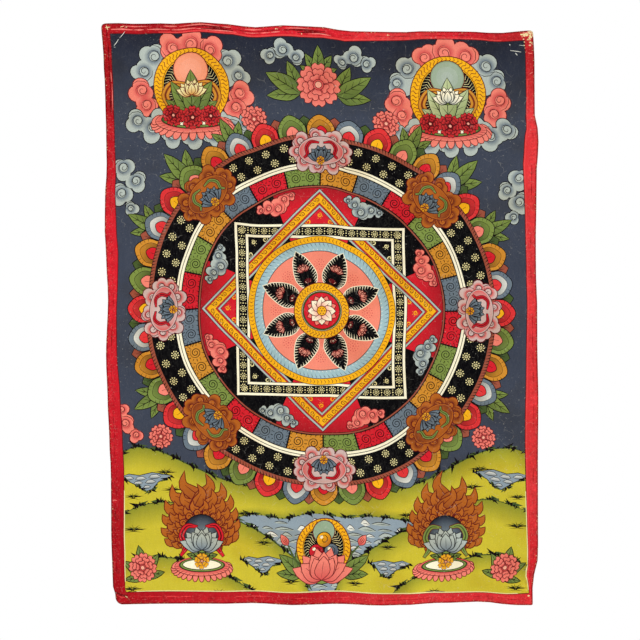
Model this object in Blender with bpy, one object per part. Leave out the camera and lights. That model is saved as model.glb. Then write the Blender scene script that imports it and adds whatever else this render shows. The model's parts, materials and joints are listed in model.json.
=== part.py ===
"""A painted cotton hanging: one sheet whose edge is turned to the back as a narrow hem.

Metres, +Z up. The sheet hangs in the XZ plane with its painted face towards -Y.
The origin is the middle of the top edge, where the hanging is held.
"""
import math

import bmesh
import bpy
from mathutils import Vector

MM = 0.001

# The sheet as it was cut and hemmed.
WIDTH = 448 * MM
HEIGHT = 596 * MM
CLOTH = 1.2 * MM
HEM_WIDTH = 6.6 * MM
HEM_STEP = 1.0 * MM
RIM_ROUND = 0.8 * MM
RIM_EASE = 0.5 * MM
SPACING = 18 * MM
GRID_GAP = 0.1 * MM

# How far each edge strays from the straight rectangle, in millimetres.
# Columns: distance along the edge, stray. Down the sides, a stray is to the right.
LEFT_EDGE = (
    (0, -1.0), (35, 1.6), (70, 3.2), (118, 4.2), (190, 3.1), (245, 4.2), (282, 5.2),
    (335, 4.1), (385, 5.2), (428, 7.2), (490, 8.4), (552, 10.4), (582, 11.4), (585, 14.0), (596, 14.6),
)
RIGHT_EDGE = (
    (0, -3.0), (30, -2.0), (94, -2.0), (108, 1.2), (127, 2.1), (144, 0.1), (180, 0.0),
    (220, -0.6), (272, 0.4), (325, 1.4), (385, 2.3), (428, 2.1), (490, 1.6), (553, 1.4),
    (563, -1.0), (576, -4.0), (596, -4.0),
)
# Across the sheet the distance runs from the left corner, and a stray is upwards.
TOP_EDGE = (
    (0, 3.6), (58, 4.1), (100, 5.2), (132, 3.1), (157, 0.2), (189, 2.0), (214, 0.6), (224, 0.0),
    (236, -1.8), (250, -4.0), (300, -4.8), (355, -4.1), (410, -6.0), (448, -3.2),
)
BOTTOM_EDGE = (
    (0, 1.0), (60, 1.2), (120, 0.8), (168, 1.8), (205, 0.3), (265, 0.0), (300, -0.4),
    (330, 1.2), (368, 1.9), (392, 1.6), (412, 0.3), (430, -1.0), (448, 0.0),
)

# Extra grid rows, down from the top, where the sides step in above the lower corners.
STEP_ROWS = (562 * MM, 574 * MM, 582 * MM, 585 * MM)

# How round each corner is; the lower left one has been folded over.
CORNER_ROUND = {
    ("left", "top"): 4.5 * MM,
    ("right", "top"): 3.5 * MM,
    ("left", "bottom"): 7.0 * MM,
    ("right", "bottom"): 3.5 * MM,
}

# Where the cloth stands forward of or back from its plane, in millimetres.
# Columns: across from the middle, down from the top, half width, half height, forward.
SWELLS = (
    (-112, 0, 30, 9, 2.6),
    (-158, 0, 16, 12, -1.4),
    (-14, 2, 28, 8, 2.0),
    (-62, 2, 18, 14, -1.2),
    (120, 0, 44, 18, -1.6),
    (224, 120, 16, 26, 3.4),
    (224, 214, 20, 40, -1.8),
    (224, 390, 18, 46, 2.2),
    (226, 566, 18, 14, 2.4),
    (-224, 40, 18, 26, 1.8),
    (-220, 170, 20, 34, -2.0),
    (-220, 320, 18, 40, 1.6),
    (-216, 500, 20, 38, -1.8),
    (-208, 586, 20, 18, 3.2),
    (-120, 596, 40, 14, -1.8),
    (-50, 596, 24, 12, 2.0),
    (70, 596, 34, 14, -1.6),
    (150, 596, 26, 14, 2.2),
    (-60, 250, 110, 120, 1.2),
    (90, 410, 100, 90, -1.4),
)

# The set left by years of being rolled up: the free lower end bends gently forward.
ROLL_REACH = 70 * MM
ROLL_BEND = 3.5 * MM

CLOTH_RED = (0.56, 0.03, 0.05, 1.0)


def clear_scene():
    for item in list(bpy.data.objects):
        bpy.data.objects.remove(item, do_unlink=True)


def smooth(t):
    """Ease from 0 to 1."""
    t = min(max(t, 0.0), 1.0)
    return t * t * (3.0 - 2.0 * t)


def stray(table, along):
    """Read an edge's table at a distance in metres, easing from row to row."""
    along = along / MM
    if along <= table[0][0]:
        return table[0][1] * MM
    for (start, low), (end, high) in zip(table, table[1:]):
        if along <= end:
            return (low + (high - low) * smooth((along - start) / (end - start))) * MM
    return table[-1][1] * MM


def spread(length, extra=()):
    """Give grid distances along one side: close ones at the hem, even ones between."""
    rim = [0.0, RIM_ROUND, HEM_WIDTH, HEM_WIDTH + HEM_STEP]
    inner = length - 2 * rim[-1]
    count = round(inner / SPACING)
    middle = [rim[-1] + inner * i / count for i in range(1, count)]
    return sorted(rim + middle + list(extra) + [length - d for d in rim])


def round_corner(across, down):
    """Pull a grid point that lies in a corner square onto that corner's round."""
    side = "left" if across < WIDTH / 2 else "right"
    end = "top" if down < HEIGHT / 2 else "bottom"
    radius = CORNER_ROUND[side, end]
    inset_x = across if side == "left" else WIDTH - across
    inset_z = down if end == "top" else HEIGHT - down
    if inset_x >= radius or inset_z >= radius:
        return across, down
    a = 1.0 - inset_x / radius
    b = 1.0 - inset_z / radius
    inset_x = radius * (1.0 - a * math.sqrt(1.0 - b * b / 2.0))
    inset_z = radius * (1.0 - b * math.sqrt(1.0 - a * a / 2.0))
    across = inset_x if side == "left" else WIDTH - inset_x
    down = inset_z if end == "top" else HEIGHT - inset_z
    return across, down


def outline_point(across, down):
    """Carry a point of the straight rectangle onto the uneven sheet, as x and z."""
    across, down = round_corner(across, down)
    right_share = across / WIDTH
    low_share = down / HEIGHT
    left = stray(LEFT_EDGE, down)
    right = stray(RIGHT_EDGE, down)
    top = stray(TOP_EDGE, across)
    bottom = stray(BOTTOM_EDGE, across)
    x = across - WIDTH / 2 + left * (1 - right_share) + right * right_share
    z = -down + top * (1 - low_share) + bottom * low_share
    return x, z


def relief(x, z):
    """Give y of the cloth's plane at a place on the sheet; forward is -Y."""
    y = 0.0
    for across, down, half_width, half_height, forward in SWELLS:
        dx = (x / MM - across) / half_width
        dz = (-z / MM - down) / half_height
        y -= forward * MM * math.exp(-(dx * dx + dz * dz))
    from_end = HEIGHT + z
    return y - ROLL_BEND * smooth(1.0 - from_end / ROLL_REACH)


def faces_of_sheet(across_steps, down_steps):
    """Give the front and the back of every grid point, the rim's edges eased."""
    held_y = relief(0.0, 0.0)
    rows = []
    for down in down_steps:
        row = []
        for across in across_steps:
            x, z = outline_point(across, down)
            to_edge = min(across, WIDTH - across, down, HEIGHT - down)
            ease = RIM_EASE if to_edge < GRID_GAP else 0.0
            hem = CLOTH if to_edge < HEM_WIDTH + GRID_GAP else 0.0
            y = relief(x, z) - held_y
            front = Vector((x, y - CLOTH + ease, z))
            back = Vector((x, y + hem - ease, z))
            row.append((front, back))
        rows.append(row)
    return rows


def make_sheet(name, material):
    """Build the closed cloth: painted front, hemmed back, and the folded rim."""
    across_steps = spread(WIDTH)
    down_steps = spread(HEIGHT, STEP_ROWS)
    rows = faces_of_sheet(across_steps, down_steps)
    mesh = bpy.data.meshes.new(name)
    bm = bmesh.new()
    front = [[bm.verts.new(pair[0]) for pair in row] for row in rows]
    back = [[bm.verts.new(pair[1]) for pair in row] for row in rows]
    for i in range(len(rows) - 1):
        for j in range(len(rows[0]) - 1):
            bm.faces.new((front[i][j], front[i + 1][j], front[i + 1][j + 1], front[i][j + 1]))
            bm.faces.new((back[i][j], back[i][j + 1], back[i + 1][j + 1], back[i + 1][j]))
    rim = [edge for edge in bm.edges if edge.is_boundary]
    bmesh.ops.bridge_loops(bm, edges=rim)
    bmesh.ops.triangulate(bm, faces=bm.faces[:])
    bmesh.ops.recalc_face_normals(bm, faces=bm.faces[:])
    bm.to_mesh(mesh)
    bm.free()
    mesh.materials.append(material)
    mesh.shade_smooth()
    sheet = bpy.data.objects.new(name, mesh)
    bpy.context.scene.collection.objects.link(sheet)
    return sheet


def make_material(name, colour, roughness):
    material = bpy.data.materials.new(name)
    material.use_nodes = True
    shader = material.node_tree.nodes["Principled BSDF"]
    shader.inputs["Base Color"].default_value = colour
    shader.inputs["Roughness"].default_value = roughness
    shader.inputs["Metallic"].default_value = 0.0
    return material


clear_scene()
make_sheet("painted_cloth", make_material("painted_cotton", CLOTH_RED, 0.8))
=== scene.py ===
# %% [markdown]
# # A painted cotton hanging
# This lesson makes one sheet of painted cotton: primed, painted by hand, hemmed to the
# back and hung by its top edge. Everything that shows on it is one thin closed sheet,
# so the work lies in three places: the uneven shape of the cloth, the painting, and
# the finish of old distemper paint on cloth.
#
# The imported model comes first. It is a fixed frame: its box says how big the sheet is,
# and it is never moved or changed.

# %% The frame
import json
from bisect import bisect
from collections import defaultdict
from cmath import rect
from math import cos, exp, pi, radians, sin, sqrt, tau

import bpy
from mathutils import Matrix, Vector
from mathutils.geometry import delaunay_2d_cdt


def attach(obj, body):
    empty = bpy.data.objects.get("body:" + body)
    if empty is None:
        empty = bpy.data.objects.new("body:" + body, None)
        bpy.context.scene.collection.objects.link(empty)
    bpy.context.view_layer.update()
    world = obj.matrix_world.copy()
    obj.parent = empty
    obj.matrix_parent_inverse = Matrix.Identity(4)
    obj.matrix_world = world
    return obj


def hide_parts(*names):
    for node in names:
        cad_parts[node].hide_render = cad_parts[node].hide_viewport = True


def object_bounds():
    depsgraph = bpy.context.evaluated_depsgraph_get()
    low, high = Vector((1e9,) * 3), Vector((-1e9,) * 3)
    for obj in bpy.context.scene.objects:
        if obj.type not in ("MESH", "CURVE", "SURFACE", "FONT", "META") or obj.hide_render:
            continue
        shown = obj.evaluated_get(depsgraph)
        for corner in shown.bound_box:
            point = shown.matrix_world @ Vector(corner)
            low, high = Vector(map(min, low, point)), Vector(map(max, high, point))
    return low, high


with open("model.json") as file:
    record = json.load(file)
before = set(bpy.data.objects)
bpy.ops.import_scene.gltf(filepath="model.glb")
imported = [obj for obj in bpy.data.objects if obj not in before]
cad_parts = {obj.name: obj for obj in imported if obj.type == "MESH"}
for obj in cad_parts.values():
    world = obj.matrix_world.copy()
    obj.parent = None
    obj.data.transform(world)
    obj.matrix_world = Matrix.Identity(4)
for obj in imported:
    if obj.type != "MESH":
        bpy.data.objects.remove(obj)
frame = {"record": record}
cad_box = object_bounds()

print("CAD box in metres:", [tuple(round(v, 4) for v in corner) for corner in cad_box])
print("materials in the record:", [slot["slot"] for slot in frame["record"]["materials"]])

# %% [markdown]
# ## Paints and the first brush marks
# The real picture is drawn in ink and filled with ground pigments: flat colour, a darker
# wash, then fine lines. An image would be quick but blurs near by, and a procedural
# texture can't draw a petal. So the painting is a list of flat shapes, in the order in
# which a painter lays them down, and each one later becomes faces of the sheet.
#
# Points are complex numbers: the real part is millimetres across from the middle of the
# sheet, the imaginary part millimetres down from its top edge. To turn a motif is then
# one multiplication.

# %% The paints
def srgb(red, green, blue):
    """A paint from 0 to 255 values, as the linear colour that a shader takes."""
    scaled = (red / 255, green / 255, blue / 255)
    return tuple(c / 12.92 if c <= 0.04045 else ((c + 0.055) / 1.055) ** 2.4 for c in scaled)


INK = srgb(14, 8, 11)
INK_RED = srgb(94, 16, 22)
CRIMSON = srgb(212, 32, 45)
CRIMSON_DEEP = srgb(160, 12, 22)
# A dark red for the painted shadow of folds and of the rolled edge.
CRIMSON_FOLD = srgb(122, 4, 12)
CRIMSON_PALE = srgb(230, 66, 66)
# A pale red for rubbed paint, and for painted highlights on the margin's ridges and folds.
RUBBED = srgb(244, 128, 118)
BARE_COTTON = srgb(236, 214, 160)
RED = srgb(220, 52, 54)
ROSE = srgb(214, 84, 80)
CORAL = srgb(244, 132, 114)
BLUSH = srgb(248, 172, 146)
SALMON = srgb(243, 138, 114)
NIGHT = srgb(62, 68, 82)
NIGHT_DEEP = srgb(34, 37, 50)
SLATE = srgb(106, 119, 129)
MIST = srgb(178, 187, 178)
CHALK = srgb(228, 228, 216)
LEAF = srgb(124, 143, 68)
MOSS = srgb(70, 88, 44)
OLIVE = srgb(204, 188, 52)
OLIVE_DEEP = srgb(140, 142, 44)
OCHRE = srgb(208, 140, 46)
AMBER = srgb(246, 178, 26)
FLAME = srgb(178, 97, 32)
FLAME_DEEP = srgb(124, 54, 26)
BLACK = srgb(7, 6, 9)
STRAW = srgb(238, 224, 160)
CREAM = srgb(252, 243, 210)
TURQUOISE = srgb(160, 190, 194)
WATER = srgb(142, 157, 166)
ROPE = srgb(156, 80, 60)
print("paints on the palette:", len([name for name in dir() if name.isupper()]))

# %% One shape, and a shape with an ink line
shapes = []
# A loaded brush draws its line this much wider than it is set down.
LINE_LOAD = 1.5


def paint(outline, colour, fade=None):
    """Lay down one flat shape. A fade says how solid the paint is at a point."""
    shapes.append((outline, colour, fade))


def dot(a, b):
    """How far a step runs along another one, times that one's length."""
    return (a.conjugate() * b).real


def cross(a, b):
    """The area between two steps, above 0 where the second turns to the right of the first."""
    return (a.conjugate() * b).imag


def inset(outline, amount):
    """Move a closed outline inwards by the width of an ink line."""
    count = len(outline)
    area = sum(cross(outline[i - 1], outline[i]) for i in range(count))
    side = 1j if area > 0 else -1j
    moved = []
    for i in range(count):
        along = outline[(i + 1) % count] - outline[i - 1]
        moved.append(outline[i] + amount * side * along / (abs(along) or 1))
    return moved


def inked(outline, colour, width=0.6, ink=INK):
    """A coloured shape with a drawn outline."""
    paint(outline, ink)
    paint(inset(outline, LINE_LOAD * width), colour)

# %% Places, and lines that flow
at = complex


def ray(length, degrees):
    """A step of some length: 0 degrees is to the right, 90 degrees down."""
    return rect(length, radians(degrees))


def spots(pairs):
    """Turn rows of across and down into points."""
    return [at(x, y) for x, y in pairs]


def flowing(points, per=5, closed=False):
    """Round a few chosen points into a flowing line."""
    count = len(points)
    spans = count if closed else count - 1
    line = []
    for i in range(spans):
        if closed:
            a, b, c, d = (points[(i + k) % count] for k in (-1, 0, 1, 2))
        else:
            b, c = points[i], points[i + 1]
            a = points[i - 1] if i else 2 * b - c
            d = points[i + 2] if i + 2 < count else 2 * c - b
        for k in range(per):
            t = k / per
            line.append(0.5 * (2 * b + (c - a) * t + (2 * a - 5 * b + 4 * c - d) * t * t
                               + (3 * b - a - 3 * c + d) * t ** 3))
    return line if closed else line + [points[-1]]

# %% Brush strokes
def widened(path, half_width):
    """The outline round a path. The half width is a function of the share of the path."""
    count = len(path) - 1
    left, right = [], []
    for i, p in enumerate(path):
        along = path[min(i + 1, count)] - path[max(i - 1, 0)]
        side = 1j * half_width(i / count) * along / (abs(along) or 1)
        left.append(p + side)
        right.append(p - side)
    return left + right[::-1]


def brush(path, width, tip=0.2):
    """The outline of one brush stroke along a path, thin at both ends."""
    half = 0.5 * (width * LINE_LOAD)
    return widened(path, lambda t: half * (tip + (1 - tip) * sin(pi * min(max(t, 0.02), 0.98)) ** 0.6))


def stroke(path, width=0.5, colour=INK, tip=0.2):
    paint(brush(path, width, tip), colour)


def dab(start, end, width, colour=INK):
    """A short wedge of a stroke, wide where the brush lands and thin where it lifts."""
    side = 0.5j * LINE_LOAD * width * (end - start) / (abs(end - start) or 1)
    paint([start + side, end, start - side], colour)

# %% Washes that fade out
def clamped(value):
    """Hold a share of paint between 0 and 1."""
    return min(max(value, 0), 1)


def toward(start, end):
    """A wash that is clear at one point and solid at another."""
    run = end - start
    return lambda p: clamped(dot(p - start, run) / abs(run) ** 2)


def around(centre, inner, outer):
    """A wash that is solid inside one radius and clear past another."""
    return lambda p: clamped((outer - abs(p - centre)) / (outer - inner))

# %% Round shapes, curls and placing
def disc(centre, radius, count=None, squash=1, turn=0):
    """A round shape with as many points as its size needs."""
    count = count or max(5, round(5.2 * sqrt(radius) + 0.35 * max(radius - 24, 0)))
    spin = ray(1, turn)
    return [centre + spin * at(radius * cos(tau * i / count), squash * radius * sin(tau * i / count))
            for i in range(count)]


def turns(count):
    """Even angles all the way round, in radians."""
    return [tau * k / count for k in range(count)]


def spiral(centre, radius, rounds, start=0, hand=1, count=18, heart=0.12):
    """A curl that winds inwards from its outer end."""
    return [centre + rect(radius * (1 - (1 - heart) * t), radians(start) + hand * tau * rounds * t)
            for t in (i / count for i in range(count + 1))]


def pose(where, turn=0):
    """Place a motif: give its own points, get them back on the sheet."""
    spin = ray(1, turn)
    return lambda points: [where + spin * p for p in points]


def within(carry, spin=1, shift=0):
    """Turn or move a motif inside another one before that one is placed."""
    return lambda points: carry([p * spin + shift for p in points])


print("points round discs of 1, 10 and 100 mm:", [len(disc(0j, radius)) for radius in (1, 10, 100)])

# %% [markdown]
# ### Petals and leaves
# Everything that grows in the picture is built from one pointed petal. Its half width is a
# short table, rounded into a flowing line and mirrored. A petal gets a wash from its base,
# a leaf gets a shaded half and side veins, and both get their ink last, as on the cloth.

# %% A petal
PETAL_SHARE = ((0, 0), (0.19, 0.75), (0.42, 1), (0.78, 0.62), (1, 0))


def petal_outline(length, width, per=2):
    """A pointed petal that grows from 0 along the imaginary axis."""
    right = flowing([at(width / 2 * share, length * along) for along, share in PETAL_SHARE], per)
    left = [at(-p.real, p.imag) for p in reversed(right[1:-1])]
    return right + left


def petal(carry, length, width, colour, deep, ink=INK, veins=1):
    """One painted petal: flat colour, a darker wash from its base, and a vein or three."""
    outline = petal_outline(length, width)
    base, tip = carry([0j, at(0, length)])
    inked(carry(outline), colour, 0.5 if width > 3.2 else 0.34, ink)
    if length > 5.5:
        paint(inset(carry(outline), 0.6), deep, toward(base + 0.75 * (tip - base), base))
    for k in range(-(veins // 2), veins // 2 + 1):
        bend = k * width * 0.2
        stroke(carry([at(bend * 0.4, length * 0.12), at(bend, length * 0.45),
                      at(bend * 0.7, length * 0.74)]), 0.4, ink)

# %% A leaf and a fan of leaves
def leaf(carry, length, width, colour=LEAF, deep=MOSS):
    """A leaf with one half in shade, a midrib and side veins."""
    outline = petal_outline(length, width)
    inked(carry(outline), colour, 0.55)
    shade = toward(*carry([at(0.5 * width, length * 0.5), at(-0.9 * width, length * 0.3)]))
    paint(inset(carry(outline), 0.9), deep, shade)
    stroke(carry([at(0, length * 0.02), at(width * 0.03, length * 0.5), at(0, length * 0.95)]), 0.55)
    for k in (0.22, 0.42, 0.62):
        reach = width * (0.42 - 0.3 * abs(k - 0.35))
        dab(*carry([at(0, length * k), at(reach, length * (k + 0.2))]), 0.45)
        dab(*carry([at(0, length * k), at(-reach, length * (k + 0.2))]), 0.45)


def fan(count):
    """Steps to each side of a fan's middle, the outermost first, so that the middle lies on top."""
    return sorted((k - (count - 1) / 2 for k in range(count)), key=lambda step: -abs(step))


def leaf_spray(where, turn, size, count=3, spread=38):
    """A fan of leaves from one point."""
    for step in fan(count):
        long = size * (1 - 0.16 * abs(step))
        leaf(pose(where, turn - 90 + step * spread), long, long * 0.42)


def tell(step):
    """Say how far the painting has come."""
    print(f"{step}: {len(shapes)} shapes laid")

# %% [markdown]
# ### Clouds
# A cloud bank is many round lobes with one line round them all. Drawing that line would
# need a union of circles. Painters and this cell do it more simply: all the ink first,
# then all the colour a little smaller over it. A curl and a few lines then round each lobe.

# %% A cloud bank
PINK_CLOUD = (CORAL, ROSE, INK_RED)
GREY_CLOUD = (MIST, SLATE, INK)


def cloud(lobes, tones):
    """A bank of round lobes. Columns of a lobe: across, down, radius, where its curl opens in
    degrees, hand of the curl. A hand of 0 has no curl."""
    colour, deep, ink = tones
    for tone, line in ((ink, 0), (colour, 0.85)):
        for x, y, radius, start, hand in lobes:
            for k in range(3):
                bump = at(x, y) + ray(radius * 0.42, start + 120 * k)
                paint(disc(bump, radius * 0.68 - line, max(8, round(3.9 * sqrt(radius)))), tone)
    for x, y, radius, start, hand in lobes:
        centre = at(x, y)
        if not hand:
            continue
        inner = centre - ray(radius * 0.12, start)
        paint(disc(inner, radius * 0.78), deep, around(inner, radius * 0.4, radius * 0.78))
        paint(disc(inner, radius * 0.4), ink)
        paint(disc(inner, radius * 0.4 - 0.4), colour)
        stroke(spiral(inner, radius * 0.54, 1.5, start, hand, 10 if radius < 8 else 15), 0.5, ink)
        back = [centre + ray(radius * 0.84, start + hand * turn) for turn in (70, 105, 140, 175)]
        stroke(back, 0.5, ink)

# %% [markdown]
# ### Blossoms
# Seen from above a blossom is rings of lobed petals, each ring smaller and turned a
# little. Seen from the side a lotus is rows of petals fanned out from a green cup, the
# outer petals of each row first, so that the middle one lies on top.

# %% A peony
# One lobed petal of a peony: across in half widths, out in lengths.
LOBE = ((0, 0.2), (0.75, 0.55), (1, 0.84), (0.45, 1), (0, 0.91), (-0.45, 1), (-1, 0.84), (-0.75, 0.55))


def peony(carry, radius, colour=CORAL, deep=ROSE, ink=INK_RED):
    """A blossom of three rings of lobed petals round a tight heart, plainer where it is small."""
    fine = radius > 9
    line = 0.45 if fine else 0.3
    rings = ((1, 8, 0), (0.74, 7, 25), (0.48, 5, 10)) if fine else ((1, 7, 0), (0.62, 5, 25))
    for reach, count, offset in rings:
        for k in range(count):
            turn = ray(1, offset + 360 * k / count)
            far, wide = radius * reach, radius * reach * 2.5 / count
            lobe = [at(wide * x, far * y) for x, y in LOBE]
            outline = carry([p * turn for p in (flowing(lobe, 3, closed=True) if fine else lobe)])
            inked(outline, colour, line, ink)
            inner, outer = carry([at(0, far * 0.35) * turn, at(0, far * 0.95) * turn])
            paint(inset(outline, line), deep, toward(outer, inner))
    for reach, tone in ((0.26, deep), (0.17, BLUSH)):
        inked(carry(disc(0j, radius * reach, 10 if fine else 6)), tone, line, ink)

# %% A lotus
def lotus(carry, width, colour=CORAL, deep=ROSE, ink=INK_RED):
    """A lotus seen from the side: a green cup and rows of petals, up along the imaginary axis."""
    inked(carry(disc(at(0, width * 0.05), width * 0.2, 12, 0.6)), LEAF, 0.5)
    rows = ((6, 68, 0.6), (5, 54, 0.52), (3, 24, 0.44))
    if width < 14:
        rows = rows[1:]
    for count, spread, long in rows:
        for step in fan(count):
            turned = within(carry, ray(1, spread * 2 * step / (count - 1)))
            petal(turned, width * long, width * 0.3, colour, deep, ink)

# %% [markdown]
# ### The upper emblems
# In each upper corner a bouquet stands on a lotus seat, before a golden oval combed with
# wavering lines, with banks of cloud about it. One function draws both. The second call
# mirrors it and gives it other paints.

# %% The golden oval and the seat
def aureole(centre, across, up, count=54):
    """A golden oval combed with wavering lines, round a black oval combed with pale ones."""
    squash = up / across

    def place(reach, a):
        return centre + at(across * reach * cos(a), up * reach * sin(a))

    inked(disc(centre, across, None, squash), AMBER, 0.6, INK_RED)
    for a in turns(count):
        stroke([place(0.985 - 0.215 * t, a + 0.05 * sin(6 * t)) for t in (0, 0.33, 0.66, 1)], 0.6, FLAME_DEEP)
    inked(disc(centre, across * 0.77, None, squash), AMBER, 0.4, INK_RED)
    paint(disc(centre, across * 0.735, None, squash), BLACK)
    for a in turns(count):
        stroke([place(0.72 - 0.36 * t, a + 0.11 * sin(5 * t)) for t in (0, 0.33, 0.66, 1)], 0.36, STRAW)


def lotus_seat(centre, width, height):
    """The round cushion of lotus petals that carries an emblem, seen from a little above."""
    half = width / 2
    squash = height / width
    count = 17
    for k in range(count):
        a = pi * (k / (count - 1)) * 1.16 - 0.08 * pi
        spot = centre + at(half * 0.93 * cos(a), half * squash * 0.93 * sin(a) + height * 0.12)
        turn = 90 - 58 * cos(a)
        inked(disc(spot, half * 0.17, 11, 0.62, turn), CORAL, 0.5, INK_RED)
    inked(disc(centre + at(0, height * 0.07), half * 0.95, None, squash), CORAL, 0.4, INK_RED)
    for k in range(count - 1):
        a = pi * ((k + 0.5) / (count - 1)) * 1.1 - 0.05 * pi
        outer = centre + at(half * 0.95 * cos(a), half * squash * 0.95 * sin(a) + height * 0.1)
        stroke([centre + (outer - centre) * t for t in (0.78, 0.9, 1)], 0.45, INK_RED)

    def hollow(p):
        away = p - centre
        return clamped((1 - abs(at(away.real, away.imag / squash)) / half) / 0.28)

    paint(disc(centre + at(0, height * 0.07), half * 0.92, None, squash), ROSE, hollow)
    inked(disc(centre, half * 0.8, None, squash * 0.88), MOSS, 0.5)
    inked(disc(centre - at(0, height * 0.012), half * 0.74, None, squash * 0.86), LEAF, 0.4, LEAF)
    inked(disc(centre - at(0, height * 0.02), half * 0.68, None, squash * 0.8), CREAM, 0.5)

# %% A bouquet with ribbons
def ribbon(points, width, colour, deep):
    """A band of cloth that flutters, with a darker fold down its middle."""
    path = flowing(points, 5)
    inked(brush(path, width, 0.45), colour, 0.5, INK_RED)
    stroke(path[2:-2], width * 0.24, deep)


def bouquet(foot, size, leaf_tones, bloom, berry):
    """A tall cluster of leaves with a lotus at its head and peonies at its foot."""
    for side in (-1, 1):
        bends = ((0.06, -0.66), (0.34, -0.66), (0.47, -0.46), (0.4, -0.26), (0.5, -0.1))
        ribbon([foot + size * at(side * x, y) for x, y in bends], size * 0.1, OCHRE, FLAME_DEEP)
    for lean, long in ((-58, 0.56), (58, 0.56), (-30, 0.74), (30, 0.74), (0, 0.84)):
        leaf(pose(foot - 0.08j * size, lean - 180), long * size, long * size * 0.4, *leaf_tones)
    lotus(pose(foot - 0.46j * size, 180), size * 0.5, *bloom)
    for x, y, radius in ((-0.34, -0.1, 0.2), (0.34, -0.1, 0.2), (0, -0.06, 0.22)):
        peony(pose(foot + size * at(x, y), 60 * x), size * radius, *berry)

# %% A whole emblem
# The four cloud banks of an emblem, in its own size: grey, pink, pink and grey.
EMBLEM_CLOUDS = (
    ((-0.95, -0.78, 0.33, 200, 1), (-1.22, -0.4, 0.3, 170, -1), (0.98, -0.72, 0.32, 330, -1),
     (1.25, -0.34, 0.27, 10, 1), (-1.02, -0.3, 0.3, 0, 0), (1, -0.3, 0.28, 0, 0)),
    ((-0.45, -1.02, 0.35, 240, -1), (0.05, -1.12, 0.38, 280, 1), (0.54, -0.98, 0.33, 310, -1)),
    ((-1.3, 0.1, 0.32, 150, 1), (-1.18, 0.48, 0.31, 120, -1), (1.28, 0.12, 0.33, 30, 1),
     (1.16, 0.5, 0.31, 60, -1)),
    ((-1.42, 0.86, 0.3, 140, 1), (-1.02, 1.06, 0.34, 100, -1), (-0.52, 1.24, 0.3, 90, 1),
     (0.02, 1.28, 0.31, 70, -1), (0.56, 1.22, 0.31, 60, 1), (1.02, 1.04, 0.33, 50, -1),
     (1.4, 0.84, 0.26, 20, 1), (-0.8, 0.85, 0.3, 0, 0), (0.8, 0.85, 0.3, 0, 0)),
)


def emblem(centre, size, lean, glow, leaf_tones, bloom, berry=(RED, INK_RED, INK_RED)):
    """A bouquet on a lotus seat before a golden aureole, with clouds all about it."""
    for tones, lobes in zip((GREY_CLOUD, PINK_CLOUD, PINK_CLOUD, GREY_CLOUD), EMBLEM_CLOUDS):
        cloud([(centre.real + lean * x * size, centre.imag + y * size, radius * size, start, lean * hand)
               for x, y, radius, start, hand in lobes], tones)
    aureole(centre, size * 0.98, size)
    head = centre - 0.44j * size
    inked(disc(head, size * 0.45), glow[0], 0.6, INK_RED)
    for share in (0.4, 0.28, 0.15):
        paint(disc(head, size * share), glow[1], lambda p: 0.3)
    lotus_seat(centre + 0.84j * size, size * 2, size * 0.62)
    bouquet(centre + 0.86j * size, size * 1.42, leaf_tones, bloom, berry)

# %% [markdown]
# ### Sky
# The ground of the upper part is slate blue, darker towards the top. The emblems, a
# blossom between them, and clouds at both sides lie on it. Leaves look out from behind the
# place of the great ring, so they are painted before it.

# %% Paint the sky
LEFT, RIGHT, TOP = -216, 216, 8
SKY_FOOT, DARK_FOOT = 480, 90
for foot, colour, fade in ((SKY_FOOT, NIGHT, None),
                           (DARK_FOOT, NIGHT_DEEP, toward(at(0, DARK_FOOT), at(0, TOP)))):
    paint([at(LEFT, TOP), at(RIGHT, TOP), at(RIGHT, foot), at(LEFT, foot)], colour, fade)
for side in (-1, 1):
    leaf_spray(at(side * 18 - 1, 70), -90 + side * 58, 44, 3, 34)
cloud(((-52, 30, 9, 200, 1), (-38, 24, 11, 250, -1), (-24, 32, 9, 320, 1), (36, 26, 11, -70, 1),
       (50, 33, 9, -20, -1), (23, 32, 8, 200, -1)), GREY_CLOUD)
leaf_spray(at(-1, 52), -90, 34, 5, 30)
peony(pose(at(-1, 60)), 23)
emblem(at(-134, 66), 41, 1, (srgb(242, 146, 104), BLUSH), (LEAF, MOSS), (STRAW, OCHRE, INK_RED))
pale_leaves = (srgb(190, 200, 150), LEAF)
emblem(at(133, 67), 41, -1, (srgb(142, 162, 128), MIST), pale_leaves, (CREAM, MIST, INK))
tell("sky")

# %% Clouds at the sides, leaves round the ring
# A grey bank at each side, and a pink one low on the left.
left = ((-206, 150, 12, 90, 1), (-192, 163, 11, 60, -1), (-207, 176, 12, 120, 1), (-196, 190, 8, 0, -1))
right = ((206, 154, 12, 90, -1), (193, 166, 10, 130, 1), (207, 179, 12, 60, -1), (199, 193, 8, 180, 1))
low = ((-209, 398, 8, 90, 1), (-206, 412, 10, 60, -1), (-196, 424, 8, 120, 1))
for lobes, tones in ((left, GREY_CLOUD), (right, GREY_CLOUD), (low, PINK_CLOUD)):
    cloud(lobes, tones)

HEART = at(-1, 293)
# Leaves and blossoms that look out from behind the outer ring.
for degrees in (-136, -118, -62, -44, -154, -26, 152, 28):
    size = 40 if degrees in (-136, -44) else 34
    leaf_spray(HEART + ray(188, degrees), degrees, size, 3, 36)
for degrees, radius, size in ((-109, 209, 14), (-71, 209, 14), (142, 214, 13), (38, 214, 13)):
    peony(pose(HEART + ray(radius, degrees), degrees), size)
tell("leaves")

# %% [markdown]
# ### Hills and water
# The land is yellow green hills, one before the other. Each has a darker wash under its
# crest and scrub in quick dabs along it. Water is rows of pale ripples with an ink line,
# and it also shows as stony wedges between the slopes. Dabs whose size swings with a sine
# look uneven, as by hand, and come out the same at each run.

# %% Hills with scrub
def level(crest, x):
    """How far down a crest line lies at a place across, or None beside it."""
    for a, b in zip(crest, crest[1:]):
        if a.real <= x <= b.real:
            return a.imag + (b.imag - a.imag) * (x - a.real) / (b.real - a.real)
    return None


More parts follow.
